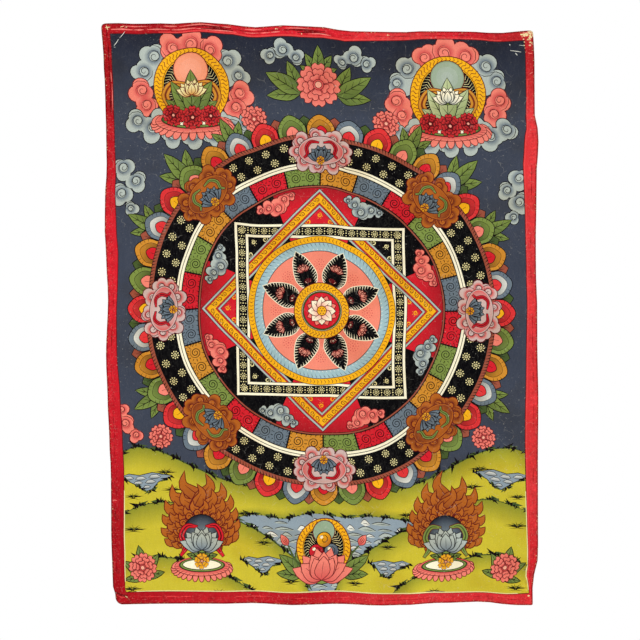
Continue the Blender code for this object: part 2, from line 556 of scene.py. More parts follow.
def below(crest, depth):
    """A wash that is solid along a crest line and clears downwards."""

    def solid(p):
        crest_level = level(crest, p.real)
        return 0 if crest_level is None else clamped(1 - (p.imag - crest_level) / depth)

    return solid


def scrub(crest, gap=1.5, size=1):
    """Dark dabs crowded along a line, thick and thin by turns, as low bushes on a ridge."""
    walked, due, k = 0, 0, 0
    for a, b in zip(crest, crest[1:]):
        length = abs(b - a)
        along = (b - a) / length
        while due < walked + length:
            spot = a + along * (due - walked)
            grow = size * (1.3 + 1.1 * sin(due * 0.31) + 0.6 * sin(due * 1.13))
            if grow > 0.4:
                out = along * ray(1, -158 + 43 * (k % 8) - 12 * (k % 3))
                spot += along * ray(0.5 * grow, -90 - 50 * (k % 2))
                far = spot + out * (1.2 + 0.7 * (k % 3)) * grow
                dab(spot - out * 0.4 * grow, far, 0.85 * grow, INK if k % 4 else MOSS)
            due += gap
            k += 1
        walked += length


def hill(points, depth, foot=592):
    """A hillside: flat colour, a green wash under its crest, and scrub along the line."""
    crest = flowing(spots(points), 4)
    paint(crest + [at(crest[-1].real, foot), at(crest[0].real, foot)], OLIVE)
    paint(crest + [p + 1j * depth for p in reversed(crest)], OLIVE_DEEP, below(crest, depth))
    stroke(crest, 0.8, MOSS)
    scrub(crest, 1.4, 1.3)

# %% Grass and a stream
def tuft(x, y, size=12):
    """A low clump of grass: a fan of quick dark blades from one spot, longest along the ground."""
    spot = at(x, y)
    for k in range(12):
        a = radians(170 + 18.2 * k)
        away = at(cos(a) * size * (0.7 + 0.45 * ((5 * k) % 3) / 2), sin(a) * size * (0.2 + 0.2 * (k % 2)))
        dab(spot + away * 0.16, spot + away, 0.62, MOSS if k % 5 == 4 else INK)
    for side in (-1, 1):
        dab(spot + at(side * 0.5, 0.9), spot + at(side * size * 1.2, 0.4 - 0.6 * side), 0.75)
        dab(spot + at(-side * 1.5, 1.8), spot + at(side * size * 0.75, 3.4), 0.65)
    dab(spot + at(-size * 0.3, 0.2), spot + at(size * 0.35, 0.9), 1.4)


def stream(bank, foot, gap=6.6):
    """Running water below a bank: long pale ripples over slate blue, each with its line."""
    left, right = bank[0].real, bank[-1].real
    paint(bank + [at(right, foot), at(left, foot)], WATER)
    row, y = 0, min(p.imag for p in bank) + 2
    while y < foot:
        x = left + 3 + 7 * (row % 3)
        k = 0
        while x < right:
            long = 15 + 6 * sin(1.7 * row + 2.3 * k)
            rise = 3 + 1.3 * sin(row + 1.9 * k)
            start = at(x, y)
            k += 1
            x += long + 1.5 + 2 * (k % 2)
            end = min(start.real + long, right)
            if y - rise < max(level(bank, start.real) or 0, level(bank, end) or 0) + 1.5:
                continue
            crest = flowing([start, start + at(long * 0.35, -rise), start + at(long * 0.75, -rise * 0.5),
                             start + at(long, 0.8)], 2)
            paint(crest + [start + at(long * 0.5, rise * 0.9)], INK)
            paint([p + 0.8j for p in crest] + [start + at(long * 0.5, rise * 0.7 + 0.4)],
                  MIST if (row + k) % 3 else CHALK)
            stroke([start + at(long * t, drop) for t, drop in ((0.25, 0.9), (0.6, 0.5), (0.9, 1.2))], 0.5)
        y += gap
        row += 1

# %% Stony water between slopes
def stream_mouth(where, width, height, lean=1):
    """A wedge of stony water between two slopes, its lower banks dark with scrub."""
    shape = spots(((-1, -0.1), (-0.62, -0.34), (-0.2, -0.22), (0.3, -0.4), (1.05, -0.16), (0.55, 0.3),
                   (0.3, 0.78), (0.02, 0.92), (-0.42, 0.4)))
    corners = ((-0.5, 0.3), (-0.3, -0.5), (0.15, -0.65), (0.5, 0.1), (0.2, 0.6), (-0.25, 0.7))

    def place(points):
        return [where + at(p.real * lean * width / 2, p.imag * height) for p in points]

    outline = place(shape)
    inked(outline, WATER, 0.5)
    for x, y, long, tall in ((-0.62, -0.04, 0.42, 0.22), (-0.14, 0, 0.46, 0.22), (0.4, -0.1, 0.5, 0.24),
                             (-0.24, 0.3, 0.4, 0.2), (0.24, 0.24, 0.44, 0.22), (0.1, 0.58, 0.3, 0.18)):
        stone = place([at(x + long * u, y + tall * v) for u, v in corners])
        inked(stone, SLATE, 0.45)
        paint(inset(stone, 0.6), CHALK, toward(*place([at(x, y + 0.16), at(x, y - 0.12)])))
    scrub([outline[i] for i in (4, 5, 6, 7)], 1.5, 1)
    scrub([outline[i] for i in (0, 8, 7)], 1.5, 1)

# %% Paint the land
# Where grass grows: across, down, size.
TUFTS = (
    (-166, 462, 7), (-158, 480, 7), (164, 458, 7), (156, 476, 7), (-200, 520, 8), (-64, 534, 6),
    (202, 514, 8), (66, 536, 6), (-112, 584, 7), (118, 584, 7), (-204, 580, 7), (206, 578, 7),
    (-200, 486, 6), (203, 484, 6), (-34, 572, 6), (34, 574, 6), (-84, 504, 6), (86, 502, 6),
)
# The far hill, the stream, and two pairs of hills before it.
hill(((-216, 446), (-198, 436), (-172, 440), (-140, 454), (-100, 470), (-50, 480), (0, 484), (50, 480),
      (104, 468), (144, 450), (178, 436), (200, 434), (222, 444)), 22, 588)
bank = flowing(spots(((-100, 512), (-74, 505), (-44, 508), (-14, 503), (20, 508), (50, 504), (78, 507),
                      (100, 512))), 3)
stream(bank, 590)
above_bank = [p - 9j for p in bank] + bank[::-1]
paint(above_bank, OLIVE_DEEP, lambda p: clamped(1 - ((level(bank, p.real) or 500) - p.imag) / 9))
scrub(bank, 1.4, 1.2)
hill(((-216, 506), (-186, 494), (-150, 494), (-112, 504), (-78, 518), (-48, 536), (-26, 556),
      (-12, 592)), 24)
hill(((10, 592), (24, 558), (50, 538), (82, 519), (116, 503), (150, 492), (184, 490), (222, 502)), 24)
stream_mouth(at(-188, 468), 54, 15)
stream_mouth(at(186, 464), 56, 16, -1)
stream_mouth(at(-66, 553), 46, 14)
stream_mouth(at(68, 555), 44, 14, -1)
hill(((-216, 560), (-196, 550), (-160, 550), (-116, 562), (-84, 578), (-66, 592)), 18)
hill(((64, 592), (84, 576), (114, 561), (156, 549), (190, 548), (222, 558)), 18)
for x, y, size in TUFTS:
    tuft(x, y, size * 1.55)
tell("land")

# %% [markdown]
# ### The foreground
# Two blazes stand on the hills, each a stack of curling tongues, far ones first, with a
# lotus before it. Between them three jewels rest on a wide lotus. A tongue is a brush path
# whose width is full near its root and runs out to a point.

# %% A blaze of tongues
def tongue(path, width):
    """A lick of flame: a full belly near its root, drawn out to one point at its tip."""
    outline = widened(path, lambda t: 0.5 * width * (1 - t) * (0.85 + 1.35 * t))
    del outline[len(path)]
    return outline


def flame_tongue(where, size, turn, start, reach, width, wind, hand):
    """One tongue of a blaze: it leaves the middle at an angle, sways and bends up to its tip."""
    root = where + size * start * ray(1, turn - 90)
    tip = where + size * reach * ray(1, turn * 0.8 + wind - 90)
    run = tip - root
    side = 1j * hand * run
    path = flowing([root, root + run * 0.3 + side * 0.15, root + run * 0.66 - side * 0.12, tip], 4)
    outline = tongue(path, size * width)
    inked(outline, FLAME, 0.6, INK_RED)
    paint(inset(outline, 0.6), FLAME_DEEP, toward(root + run * 0.62, root + run * 0.05))
    stroke([p + side * 0.035 for p in path[2:10:2]], 0.6, INK_RED)


# Three rings of tongues: where they start, how wide they are, and the turn and reach of each.
TONGUES = (
    (0.62, 0.5, ((-112, 1.06), (112, 1.06), (-92, 1.16), (92, 1.16), (-70, 1.24), (72, 1.26), (-50, 1.4),
                  (52, 1.42), (-30, 1.62), (33, 1.6), (-10, 1.86), (13, 1.74))),
    (0.5, 0.42, ((-122, 0.9), (122, 0.9), (-102, 0.98), (102, 0.98), (-81, 1.02), (82, 1.02), (-60, 1.08),
                  (62, 1.1), (-40, 1.2), (43, 1.22), (-20, 1.34), (23, 1.34), (2, 1.44))),
    (0.36, 0.34, ((-130, 0.76), (130, 0.76), (-110, 0.8), (110, 0.8), (-90, 0.82), (90, 0.82), (-69, 0.84),
                  (70, 0.84), (-48, 0.88), (50, 0.88), (-28, 0.94), (31, 0.94), (-8, 1), (11, 1))),
)


def flame_bush(where, size, lean):
    """A blaze of curling tongues, the far ones first, with a row of curls before them."""
    wind = 6 * lean
    for start, width, tongues in TONGUES:
        for k, (turn, reach) in enumerate(tongues):
            flame_tongue(where, size, turn, start, reach, width, wind, 1 if turn < 0 else -1)
    for k in range(12):
        turn = -126 + 252 * k / 11
        eye = where + ray(size * 0.6, turn - 90)
        hand = 1 if turn > 0 else -1
        inked(disc(eye, size * 0.115, 11), FLAME, 0.5, INK_RED)
        stroke(spiral(eye, size * 0.125, 1.5, turn, hand, 11), 0.6, INK_RED)

# %% A blossom bush, a bud and the jewel lotus
def blossom_bush(where, turn, size):
    """A peony on a fan of leaves."""
    leaf_spray(where, turn, size * 1.55, 5, 44)
    peony(pose(where + ray(size * 0.45, turn), turn * 1.3), size * 0.72)


def bud(where, turn, length):
    stem = [where, where + ray(length * 0.6, turn - 6), where + ray(length, turn)]
    stroke(stem, 1.5, MOSS, 0.6)
    head = stem[-1]
    petal(pose(head, turn - 90), length * 0.42, length * 0.26, CORAL, ROSE, INK_RED, 3)


def jewel_lotus(where):
    """Three round jewels in a golden aureole, on a wide lotus among leaves and buds."""
    for side in (-1, 1):
        leaf_spray(where + at(side * 20, 14), -90 + side * 52, 34, 3, 34)
        bud(where + at(side * 18, 12), -90 + side * 34, 34)
    aureole(where - 14j, 29, 30, 40)
    inked(disc(where - 30j, 12), srgb(150, 176, 150), 0.6, INK_RED)
    for x, y, colour, deep in ((-8, -10, CRIMSON, INK_RED), (8, -10, SLATE, NIGHT), (0, -22, AMBER, FLAME)):
        spot = where + at(x, y)
        inked(disc(spot, 8.2), colour, 0.6)
        paint(disc(spot, 7.6), deep, toward(spot - at(3, 3), spot + at(6, 6)))
        paint(disc(spot - at(2.6, 2.8), 1.8, 8), CREAM)
        stroke(spiral(spot, 5.6, 1.2, 200, 1, 10), 0.5)
    lotus(pose(where + 20j, 180), 58)

# %% Paint the foreground
for side in (-1, 1):
    middle = at(side * 128 - 1, 526)
    flame_bush(middle, 37, side)
    inked(disc(middle - 1j, 20), NIGHT_DEEP, 0.6)
    paint(disc(middle - 1j, 19), SLATE, around(middle, 6, 19))
    lotus_seat(middle + 31j, 62, 21)
    for k in (-1, 1):
        ribbon([middle + at(k * x, y) for x, y in ((4, -8), (15, -9), (21, 1), (17, 12), (23, 22))], 4.2,
               CRIMSON if side < 0 else LEAF, INK_RED if side < 0 else MOSS)
    leaf_spray(middle + 24j, -90, 26, 5, 38)
    lotus(pose(middle + 16j, 180), 42, MIST, SLATE, INK)
    peony(pose(middle + 27j, 0), 8.5, AMBER, OCHRE, INK_RED)
    blossom_bush(at(side * 190, 568), -90 + side * 10, 21)
jewel_lotus(at(-1, 552))
tell("foreground")

# %% [markdown]
# ### The rings
# The great circle is nested rings: broad petals with a dome in each, a rope, a black ring
# strewn with daisies, a double cream line and a ring of scroll blocks. A block is drawn
# straight and bent round by a function that maps its length to an angle, which keeps its
# curls true at any radius.

# %% A ring of broad petals
def on_ring(centre, radius, degrees):
    """Bend a motif round a ring: its real axis runs along it, its imaginary axis outwards."""
    return lambda points: [centre + rect(radius + p.imag, radians(degrees) + p.real / radius) for p in points]


def grounds(*rings, count=None):
    """Round grounds about the middle, each a radius and a paint, the widest first."""
    for radius, colour in rings:
        paint(disc(HEART, radius, count), colour)


def broad_petal(carry, width, height, colour, dome):
    """One petal of the outer ring: an ogee with a paler rim, a dome and a slit of ink."""
    half = width / 2
    ogee = ((-1, -1 / height), (-1, 0.42), (-0.62, 0.78), (0, 1), (0.62, 0.78), (1, 0.42), (1, -1 / height))
    shape = [at(half * x, height * y) for x, y in ogee]
    outline = carry(flowing(shape, 3))
    inked(outline, colour, 0.55)
    inner = carry(flowing([p * 0.74 for p in shape], 3))
    paint(inner, INK)
    paint(inset(inner, 0.4), CHALK if colour is SLATE else colour)
    paint(inset(inner, 0.4), BLACK, toward(*carry([at(0, height * 0.9), at(0, -height * 0.5)])))
    core = carry(flowing([p * 0.46 for p in shape], 3))
    inked(core, dome, 0.45)
    stroke(carry([at(0, height * 0.04), at(0, height * 0.26)]), 0.6)
    for side in (-1, 1):
        for k in range(3):
            dab(*carry([at(side * half * (0.9 - 0.2 * k), height * (0.5 + 0.15 * k)),
                        at(side * half * (0.66 - 0.16 * k), height * (0.42 + 0.13 * k))]), 0.4)


def petal_ring(radius, height, count):
    """Back petals first, half a step on, so that only their tips show between the others."""
    pairs = ((RED, AMBER), (LEAF, CORAL), (OCHRE, CRIMSON), (SLATE, RED))
    step = 360 / count
    width = tau * radius / count * 0.97
    for k in range(count):
        carry = on_ring(HEART, radius, (k + 0.5) * step)
        petal(carry, height * 0.94, width * 0.62, MOSS if k % 2 else ROPE, INK)
    for k in range(count):
        colour, dome = pairs[k % 4]
        broad_petal(on_ring(HEART, radius, k * step), width, height, colour, dome)

# %% A rope and a ring of scrolls
def rope_ring(outer, inner):
    """A twisted rope, drawn as even slanting dabs on one brown ring."""
    grounds((outer, INK), (outer - 0.5, ROPE))
    middle = (outer + inner) / 2
    count = round(tau * middle / 3.3)
    for k in range(count):
        carry = on_ring(HEART, middle, 360 * k / count)
        dab(*carry([at(-1.1, (outer - inner) * 0.42), at(1.1, -(outer - inner) * 0.42)]), 0.7)
    grounds((inner + 0.5, INK))


def scroll_block(carry, length, height, colour):
    """A block of two facing curls with combed ends, drawn in ink over one flat colour."""
    half, low, high = length / 2, -height / 2, height / 2
    ends = 5
    top = [at(-half + length * k / ends, high) for k in range(ends + 1)]
    base = [at(half - length * k / ends, low) for k in range(ends + 1)]
    inked(carry(top + base), colour, 0.5)
    reach = height * 0.34
    for side in (-1, 1):
        eye = at(side * length * 0.225, -0.3)
        stroke(carry(spiral(eye, reach, 2.3, 90 - side * 60, side, 26, 0.1)), 0.6)
        for k in range(9):
            a = radians(-20 + 220 * k / 8)
            away = at(side * cos(a), sin(a))
            start = eye + away * reach * 1.14
            end = eye + away * reach * 1.62 + at(0.7 * side, 0.4)
            end = at(max(min(end.real, half - 0.8), -half + 0.8), max(min(end.imag, high - 0.6), low + 0.6))
            dab(*carry([start, end]), 0.65)
    for k in range(7):
        x = -half + length * (k + 0.5) / 7
        dab(*carry([at(x, low + 0.5), at(x + 1, low + height * 0.18)]), 0.6)
        dab(*carry([at(x, high - 0.5), at(x - 1, high - height * 0.15)]), 0.6)
    for side in (-1, 1):
        for k in range(5):
            y = low + height * (k + 0.8) / 6
            dab(*carry([at(side * (half - 0.5), y), at(side * (half - 2.8), y + 0.6)]), 0.6)


def scroll_ring(outer, inner, count, colours, turn=0):
    step = 360 / count
    middle, height = (outer + inner) / 2, outer - inner
    for k in range(count):
        carry = on_ring(HEART, middle, turn + k * step)
        scroll_block(carry, tau * middle / count * 0.995, height, colours[k % len(colours)])

# %% Paint the outer rings
def daisy(centre, radius, colour=STRAW):
    """A ring of dots round a small curl, as on dark grounds."""
    for k in range(9):
        spot = centre + rect(radius * 0.8, tau * k / 9 + radius)
        paint(disc(spot, radius * 0.2, 6, 0.75, 40 * k + 57 * radius), colour)
    paint(disc(centre, radius * 0.42, 8), colour)
    paint(disc(centre, radius * 0.28, 6), BLACK)
    paint(disc(centre, radius * 0.12, 5), colour)


# A ring of broad petals, a rope, a black ring with daisies, and a ring of scrolls.
petal_ring(181, 22, 40)
rope_ring(182, 177)
grounds((177, BLACK))
for ring, radius, count in ((0, 170.5, 56), (1, 158.5, 52)):
    for k in range(count):
        a = 360 * (k + 0.5 * ring) / count
        off = abs((a + 22.5) % 45 - 22.5)
        if off * radians(1) * radius > 25 - 3 * ring:
            daisy(HEART + ray(radius, a), 4.3)
grounds((152.6, CREAM), (150.6, INK), (149.9, CREAM), (147.4, INK))
scroll_ring(147, 129, 24, (CRIMSON, LEAF, OCHRE, SLATE), 7.5)
grounds((129.2, INK), (128.6, ROPE), (127.2, INK))
tell("outer rings")

# %% [markdown]
# ### The court and the star
# Inside the rings eight fields alternate in black and red, each with a cloud. A star of
# two interlaced squares is laid over them. The weave needs no cutting: the second square
# covers the first, and then a short length of the first is laid again over one crossing
# on each side.

# %% Paint the court
def curl(where, radius, turn, hand, colour):
    """A small scroll with three dots on its back."""
    stroke(spiral(where, radius, 1.4, turn, hand, 11, 0.15), 0.7, colour)
    for k in range(3):
        paint(disc(where + ray(radius * 1.35, turn + hand * (110 + 45 * k)), 0.45, 5), colour)


# The ground behind the star: eight fields, each with a cloud and a few curls of its own colour.
fields = ((BLACK, BLACK), (CRIMSON, INK_RED))
for k in range(8):
    start, end = radians(45 * k + 22.5), radians(45 * k + 67.5)
    steps = 14
    arc = [HEART + rect(126.6, start + (end - start) * i / steps) for i in range(steps + 1)]
    paint([HEART] + arc, fields[k % 2][0])
    paint([HEART] + arc, fields[k % 2][1], lambda p: 0.55 * clamped((abs(p - HEART) - 104) / 26))
for k in range(8):
    a = 45 * k + 22.5
    carry = on_ring(HEART, 117, a)
    tones = PINK_CLOUD if k % 2 else GREY_CLOUD
    lobes = []
    for x, y, size in ((-17, 3.5, 5), (17, 3.5, 5), (-9, 1.5, 7.5), (9, 1.5, 7.5), (0, -3, 9.5)):
        spot = carry([at(x, y)])[0]
        lobes.append((spot.real, spot.imag, size, a + 180 * (x > 0), -1 if x > 0 else 1))
    cloud(lobes, tones)
for k in range(8):
    a = radians(45 * k)
    gold = STRAW if k % 2 else AMBER
    for reach, swing in ((92, -7.2), (92, 7.2), (84.5, -13.5), (84.5, 13.5)):
        spot = HEART + rect(reach, a + radians(swing))
        curl(spot, 3.6, 45 * k + swing, 1 if swing > 0 else -1, gold)
    curl(HEART + rect(98, a), 2.6, 45 * k, 1, gold)
tell("court")

# %% Paint the star
def bar(carry, start, end, strips, beads, mitre=0):
    """A straight strip of the star, in layers from wide to narrow. Columns of a layer: half width,
    colour. With a mitre of 1 its ends are cut at 45 degrees, longer on the outer side."""
    for half, colour in strips:
        cut = half * mitre
        paint(carry([at(start - cut, -half), at(end + cut, -half),
                     at(end - cut, half), at(start + cut, half)]), colour)
    beads(carry, start, end)


def daisy_beads(carry, start, end, gap=11.5):
    for k in range(int(start // gap), int(end // gap) + 2):
        x = k * gap
        if start < x < end:
            daisy(carry([at(x, 0)])[0], 3.7)
        x += gap / 2
        if start < x < end:
            for side in (-1, 1):
                paint(disc(carry([at(x, side * 2.6)])[0], 0.6, 5), STRAW)
            paint(disc(carry([at(x, 0)])[0], 0.8, 5), STRAW)


def flame_beads(carry, start, end, gap=7):
    for k in range(int(start // gap), int(end // gap) + 2):
        x = k * gap
        if start < x < end:
            stroke(carry(spiral(at(x + 1.8, 0), 2.6, 1.3, 180, 1, 10, 0.15)), 0.5, INK_RED)
            dab(*carry([at(x - 1.6, -2.6), at(x + 0.4, 2.6)]), 0.6, INK_RED)


# Where the two squares cross, as a share of half a bar.
CROSSING = 0.4142


def star(reach, width):
    """Two interlaced squares. The second is laid over the first, and then the first is drawn
    again across one crossing of each side, which weaves them."""
    half_side = reach / sqrt(2)
    middle = half_side - width / 2
    night = ((width / 2, INK), (width / 2 - 0.6, CREAM), (width / 2 - 3.1, INK), (width / 2 - 3.5, BLACK))
    fire = ((width / 2, INK), (width / 2 - 0.6, MIST), (width / 2 - 2.4, INK), (width / 2 - 2.9, CRIMSON),
            (width / 2 - 3.9, INK), (width / 2 - 4.3, AMBER))
    for turn, strips, beads in ((0, night, daisy_beads), (45, fire, flame_beads)):
        for side in range(4):
            place = pose(HEART + ray(middle, turn + 90 * side), turn + 90 * side + 90)
            bar(place, -middle, middle, strips, beads, 1)
    crossing = middle * CROSSING
    for side in range(4):
        place = pose(HEART + ray(middle, 90 * side), 90 * side + 90)
        bar(place, crossing - width * 1.22, crossing + width * 1.22, night, daisy_beads)


star(126, 15)
tell("star")

# %% [markdown]
# ### The inner lotus
# The middle holds eight dark petals combed with pale lines, on a salmon disc inside rings
# of gold and pale blue. Each petal carries two small flowers. At the very middle a lotus
# seen from above lies in a golden ring.

# %% Dark petals and rosettes
def petal_half(t):
    """Half a petal's width at a share of its length, for a width of 2."""
    for (low, a), (high, b) in zip(PETAL_SHARE, PETAL_SHARE[1:]):
        if t <= high:
            return a + (b - a) * (t - low) / (high - low)
    return 0


def dotted_rosette(centre, radius, colour):
    for reach, count in ((1, 12), (0.55, 7)):
        for k in range(count):
            paint(disc(centre + rect(radius * reach, tau * k / count), radius * 0.11, 5), colour)
    paint(disc(centre, radius * 0.16, 6), colour)


def hatched_petal(degrees, inner, length, width):
    """A dark petal of the inner lotus, combed with pale lines from its middle to its edge."""
    carry = pose(HEART + ray(inner, degrees), degrees - 90)
    inked(carry(petal_outline(length, width, 4)), BLACK, 0.5, CREAM)
    for side in (-1, 1):
        for k in range(14):
            t = 0.11 + 0.8 * k / 13
            edge = width / 2 * petal_half(t) - 0.6
            dab(*carry([at(side * edge, length * t), at(side * edge * 0.58, length * (t - 0.055))]),
                0.6, CREAM)
    for size, along, wide, colour, deep in ((0.9, 0.5, 0.62, BLUSH, CORAL), (0.8, 0.22, 0.5, CREAM, BLUSH)):
        lotus(within(carry, size, at(0, length * along)), width * wide, colour, deep)

# %% Paint the inner lotus
def halo(centre, outer, inner, count=44):
    """A golden ring combed with wavering lines."""
    inked(disc(centre, outer, 44), AMBER, 0.6, INK_RED)
    for a in turns(count):
        stroke([centre + rect(outer - 0.9 - (outer - inner - 1.6) * t, a + 0.055 * sin(7 * t))
                for t in (0, 0.3, 0.65, 1)], 0.55, FLAME_DEEP)
    inked(disc(centre, inner, 36), CREAM, 0.5, INK_RED)


def top_lotus(centre, radius, petals, colour, deep):
    """A lotus seen from above: two rows of petals, the back row half a step on."""
    width = radius * 3.4 / petals * 1.6
    for shift, reach, tone, shade in ((0.5, 1, deep, INK_RED), (0, 0.9, colour, deep)):
        for k in range(petals):
            petal(pose(centre, 360 * (k + shift) / petals), radius * reach, width, tone, shade, INK_RED)


# Rings of gold, pale blue and salmon, and on them the dark petals and the middle lotus.
grounds((77, INK), (76.4, AMBER), count=72)
for a in turns(120):
    stroke([HEART + rect(r, a + 0.012 * sin(r)) for r in (75.6, 73.5, 71.2)], 0.5, FLAME_DEEP)
grounds((70.6, INK), (70, TURQUOISE), count=72)
for a in turns(96):
    dab(HEART + rect(69.4, a), HEART + rect(65.5, a + 0.03), 0.7, SLATE)
    dab(HEART + rect(62.6, a + 0.04), HEART + rect(64.6, a + 0.02), 0.6, CHALK)
grounds((62, INK), (61.4, SALMON), count=72)
for k in range(8):
    dotted_rosette(HEART + ray(48, 45 * k), 5.2, ROSE)
    dotted_rosette(HEART + ray(33, 45 * k), 2.6, ROSE)
for k in range(8):
    hatched_petal(22.5 + 45 * k, 21, 45, 25)
halo(HEART, 29, 21)
grounds((20, MOSS), (18.6, INK), (18.1, CRIMSON), count=40)
top_lotus(HEART, 16.5, 8, CREAM, CORAL)
inked(disc(HEART, 5.2, 18), AMBER, 0.5, INK_RED)
for a in turns(6):
    paint(disc(HEART + rect(2.9, a), 0.6, 6), INK_RED)
paint(disc(HEART, 0.8, 6), INK_RED)
tell("inner lotus")

# %% [markdown]
# ### Medallions on the black ring
# Eight rounded cartouches edged with cloud sit on the black ring, where the daisies leave
# room for them. Each holds a blue lotus with ribbons and leaves.

# %% Paint the medallions
def medallion(degrees, size, tones, ribbon_tones):
    """A cloud-edged cartouche with a blue lotus in it, set on the black ring."""
    carry = on_ring(HEART, 164.5, degrees)
    middle = HEART + ray(164.5, degrees)
    lobes = []
    for k in range(9):
        a = radians(360 * k / 9 + 20)
        spot = carry([at(size * 1.02 * cos(a), size * 0.66 * sin(a))])[0]
        radius = size * (0.36 + 0.05 * (k % 2))
        lobes.append((spot.real, spot.imag, radius, degrees + 360 * k / 9, 1 if k % 2 else -1))
    cloud(lobes, tones)
    inked(carry(disc(0j, size, 34, 0.64)), tones[0], 0.5, tones[2])
    paint(carry(disc(0j, size * 0.94, 30, 0.6)), tones[1], around(middle, size * 0.95, size * 0.45))
    for side in (-1, 1):
        bends = ((0.08, 0.34), (0.42, 0.38), (0.62, 0.16), (0.6, -0.12), (0.76, -0.26))
        ribbon(carry([size * at(side * x, y) for x, y in bends]), size * 0.12, *ribbon_tones)
        leaf(within(carry, ray(1, -62 * side), -0.38j * size), size * 0.62, size * 0.26)
    lotus(within(carry, 1, -0.4j * size), size * 1.1, SLATE, NIGHT, INK)
    peony(within(carry, 1, -0.42j * size), size * 0.2, AMBER, OCHRE)


# Eight cloud-edged medallions, pink and brown by turns, over the black ring.
pale = (srgb(206, 180, 172), ROSE, INK_RED)
brown = (FLAME, FLAME_DEEP, INK_RED)
for k in range(8):
    if k % 2:
        medallion(45 * k, 25, brown, (LEAF, MOSS))
    else:
        medallion(45 * k, 24, pale, (CRIMSON, INK_RED))
tell("medallions")

# %% [markdown]
# ### The red margin
# A broad red margin frames the picture. It was painted up to a line by eye, so its width
# swings between 9 and 15 mm, and it runs out to 4 at the lower right. It is laid after
# the picture and trims it. The red is darker towards the foot and at two corners, and
# paler on the right and at one place of the top, which soft washes give.

# %% How wide the margin is
# The size of the sheet, in millimetres.
WIDTH, HEIGHT = 448, 596

# Each row says how far along a side, and how wide the margin is there.
MARGIN_WIDTHS = {
    "top": ((0, 11), (110, 10.2), (215, 11.4), (330, 8.6), (390, 8.8), (448, 10)),
    "right": ((0, 9.6), (85, 9.4), (117, 14.6), (165, 13), (245, 10.4), (340, 12), (405, 13.8), (500, 12),
              (556, 9.6), (570, 5.4), (596, 4)),
    "bottom": ((0, 12.6), (60, 13), (150, 12), (240, 12.8), (330, 11.2), (395, 9.9), (448, 12.6)),
    "left": ((0, 8.6), (125, 8.8), (205, 12), (245, 12.4), (290, 9.2), (330, 11), (390, 13.4), (480, 14),
             (540, 13.4), (596, 12.6)),
}


def on_side(side, along, width):
    """A place so far along one side of the sheet and so far in from its edge."""
    half = WIDTH / 2
    return {"top": at(along - half, width), "right": at(half - width, along),
            "bottom": at(along - half, HEIGHT - width), "left": at(width - half, along)}[side]


def inner_edge(side):
    """The line from corner to corner at which a side of the margin meets the picture."""
    ends = ("left", "right") if side in ("top", "bottom") else ("top", "bottom")
    rows = MARGIN_WIDTHS[side]
    end = 0 if side in ("top", "left") else -1
    first = on_side(side, MARGIN_WIDTHS[ends[0]][end][1], rows[0][1])
    last = on_side(side, rows[-1][0] - MARGIN_WIDTHS[ends[1]][end][1], rows[-1][1])
    return flowing([first] + [on_side(side, *row) for row in rows[1:-1]] + [last], 4)

# %% Paint the margin
MARGIN_WASHES = (
    (CRIMSON_DEEP, lambda p: (0.55 - 0.3 * clamped(p.real / 60)) * clamped((p.imag - 300) / 190)),
    (CRIMSON_DEEP, lambda p: 0.7 * clamped((-150 - p.real) / 60) * clamped((p.imag - 440) / 70)),
    (CRIMSON_DEEP, lambda p: 0.85 * clamped(1.2 - abs(p + 224 - 40j) / 150)),
    (CRIMSON_PALE, lambda p: 0.55 * clamped((p.real - 170) / 40) * clamped((570 - p.imag) / 90)),
    (CRIMSON_PALE, lambda p: 0.35 * clamped(p.real / 50) * clamped((p.imag - 570) / 10)),
    (CRIMSON_DEEP, lambda p: 0.65 * clamped(1.3 - abs(p - 224 - 16j) / 50)),
    (CRIMSON_PALE, lambda p: 0.55 * clamped(1.4 - abs(p - 84 - 4j) / 44)),
)
for side, rows in MARGIN_WIDTHS.items():
    band = [on_side(side, 0, 0), on_side(side, rows[-1][0], 0)] + inner_edge(side)[::-1]
    paint(band, CRIMSON)
    for colour, fade in MARGIN_WASHES:
        paint(band, colour, fade)
# Along it runs the maker's own dark line, and a pale one beside that near the foot.
for side in MARGIN_WIDTHS:
    line = inner_edge(side)
    outwards = on_side(side, 0, 0) - on_side(side, 0, 1)
    if side in ("top", "right"):
        stroke([p + 1.2 * outwards for p in line[2:-2]], 1.1, CRIMSON_PALE, 0.7)
    stroke(line, 0.55, INK_RED, 0.9)
    if side != "top":
        stroke([p - 0.5 * outwards for p in line if p.imag > 450][1:-1], 0.7, STRAW, 0.6)
tell("margin")

# %% [markdown]
# ### Wear, and painted shade and highlights
# Years of rolling and handling rubbed the turned edges, chipped the paint and creased the
# corners. Each mark found on the real sheet gets its own small shape, at its own place.
# The finer, even wear comes later, from the material.
# Some marks are light and shade painted into the colour: dark lines along the hem's ridge and the rolled
# edge, and the shadows and highlights of the lifted folds.

# %% Broken lines, flakes and scratches
def chance(seed):
    """An even value from 0 to 1 that looks thrown but is the same each time."""
    return (sin(12.9898 * seed + 4.1) * 43758.5453) % 1


def rubbed_line(start, end, width, colour, gap=0.25, drift=0.5, seed=0):
    """A broken line: short strokes of uneven length along a straight path, with gaps. It draws rubbed paint,
    and the painted shade and highlights along the margin.
    """
    length = abs(end - start)
    along = (end - start) / length
    walked, k = 0, seed
    while walked < length:
        long = 5 + 22 * chance(k)
        if chance(k + 0.3) > gap:
            shift = (chance(k + 0.5) - 0.5) * drift * 1j * along
            a = start + along * walked + shift
            b = start + along * min(walked + long, length) + shift
            stroke([a, (a + b) / 2 + 0.25 * (chance(k + 0.7) - 0.5) * 1j * along, b],
                   width * (0.55 + 0.75 * chance(k + 0.9)), colour, 0.15)
        walked += long + 4 * chance(k + 0.4)
        k += 1.7


def chip(where, size, seed, colour=BARE_COTTON):
    """A flake of lost paint: an uneven little patch of the bare ground."""
    corners = [where + rect(size * (0.55 + 0.6 * chance(seed + 0.37 * i)), tau * i / 7) for i in range(7)]
    paint([at(p.real, where.imag + 0.7 * (p.imag - where.imag)) for p in corners], colour)


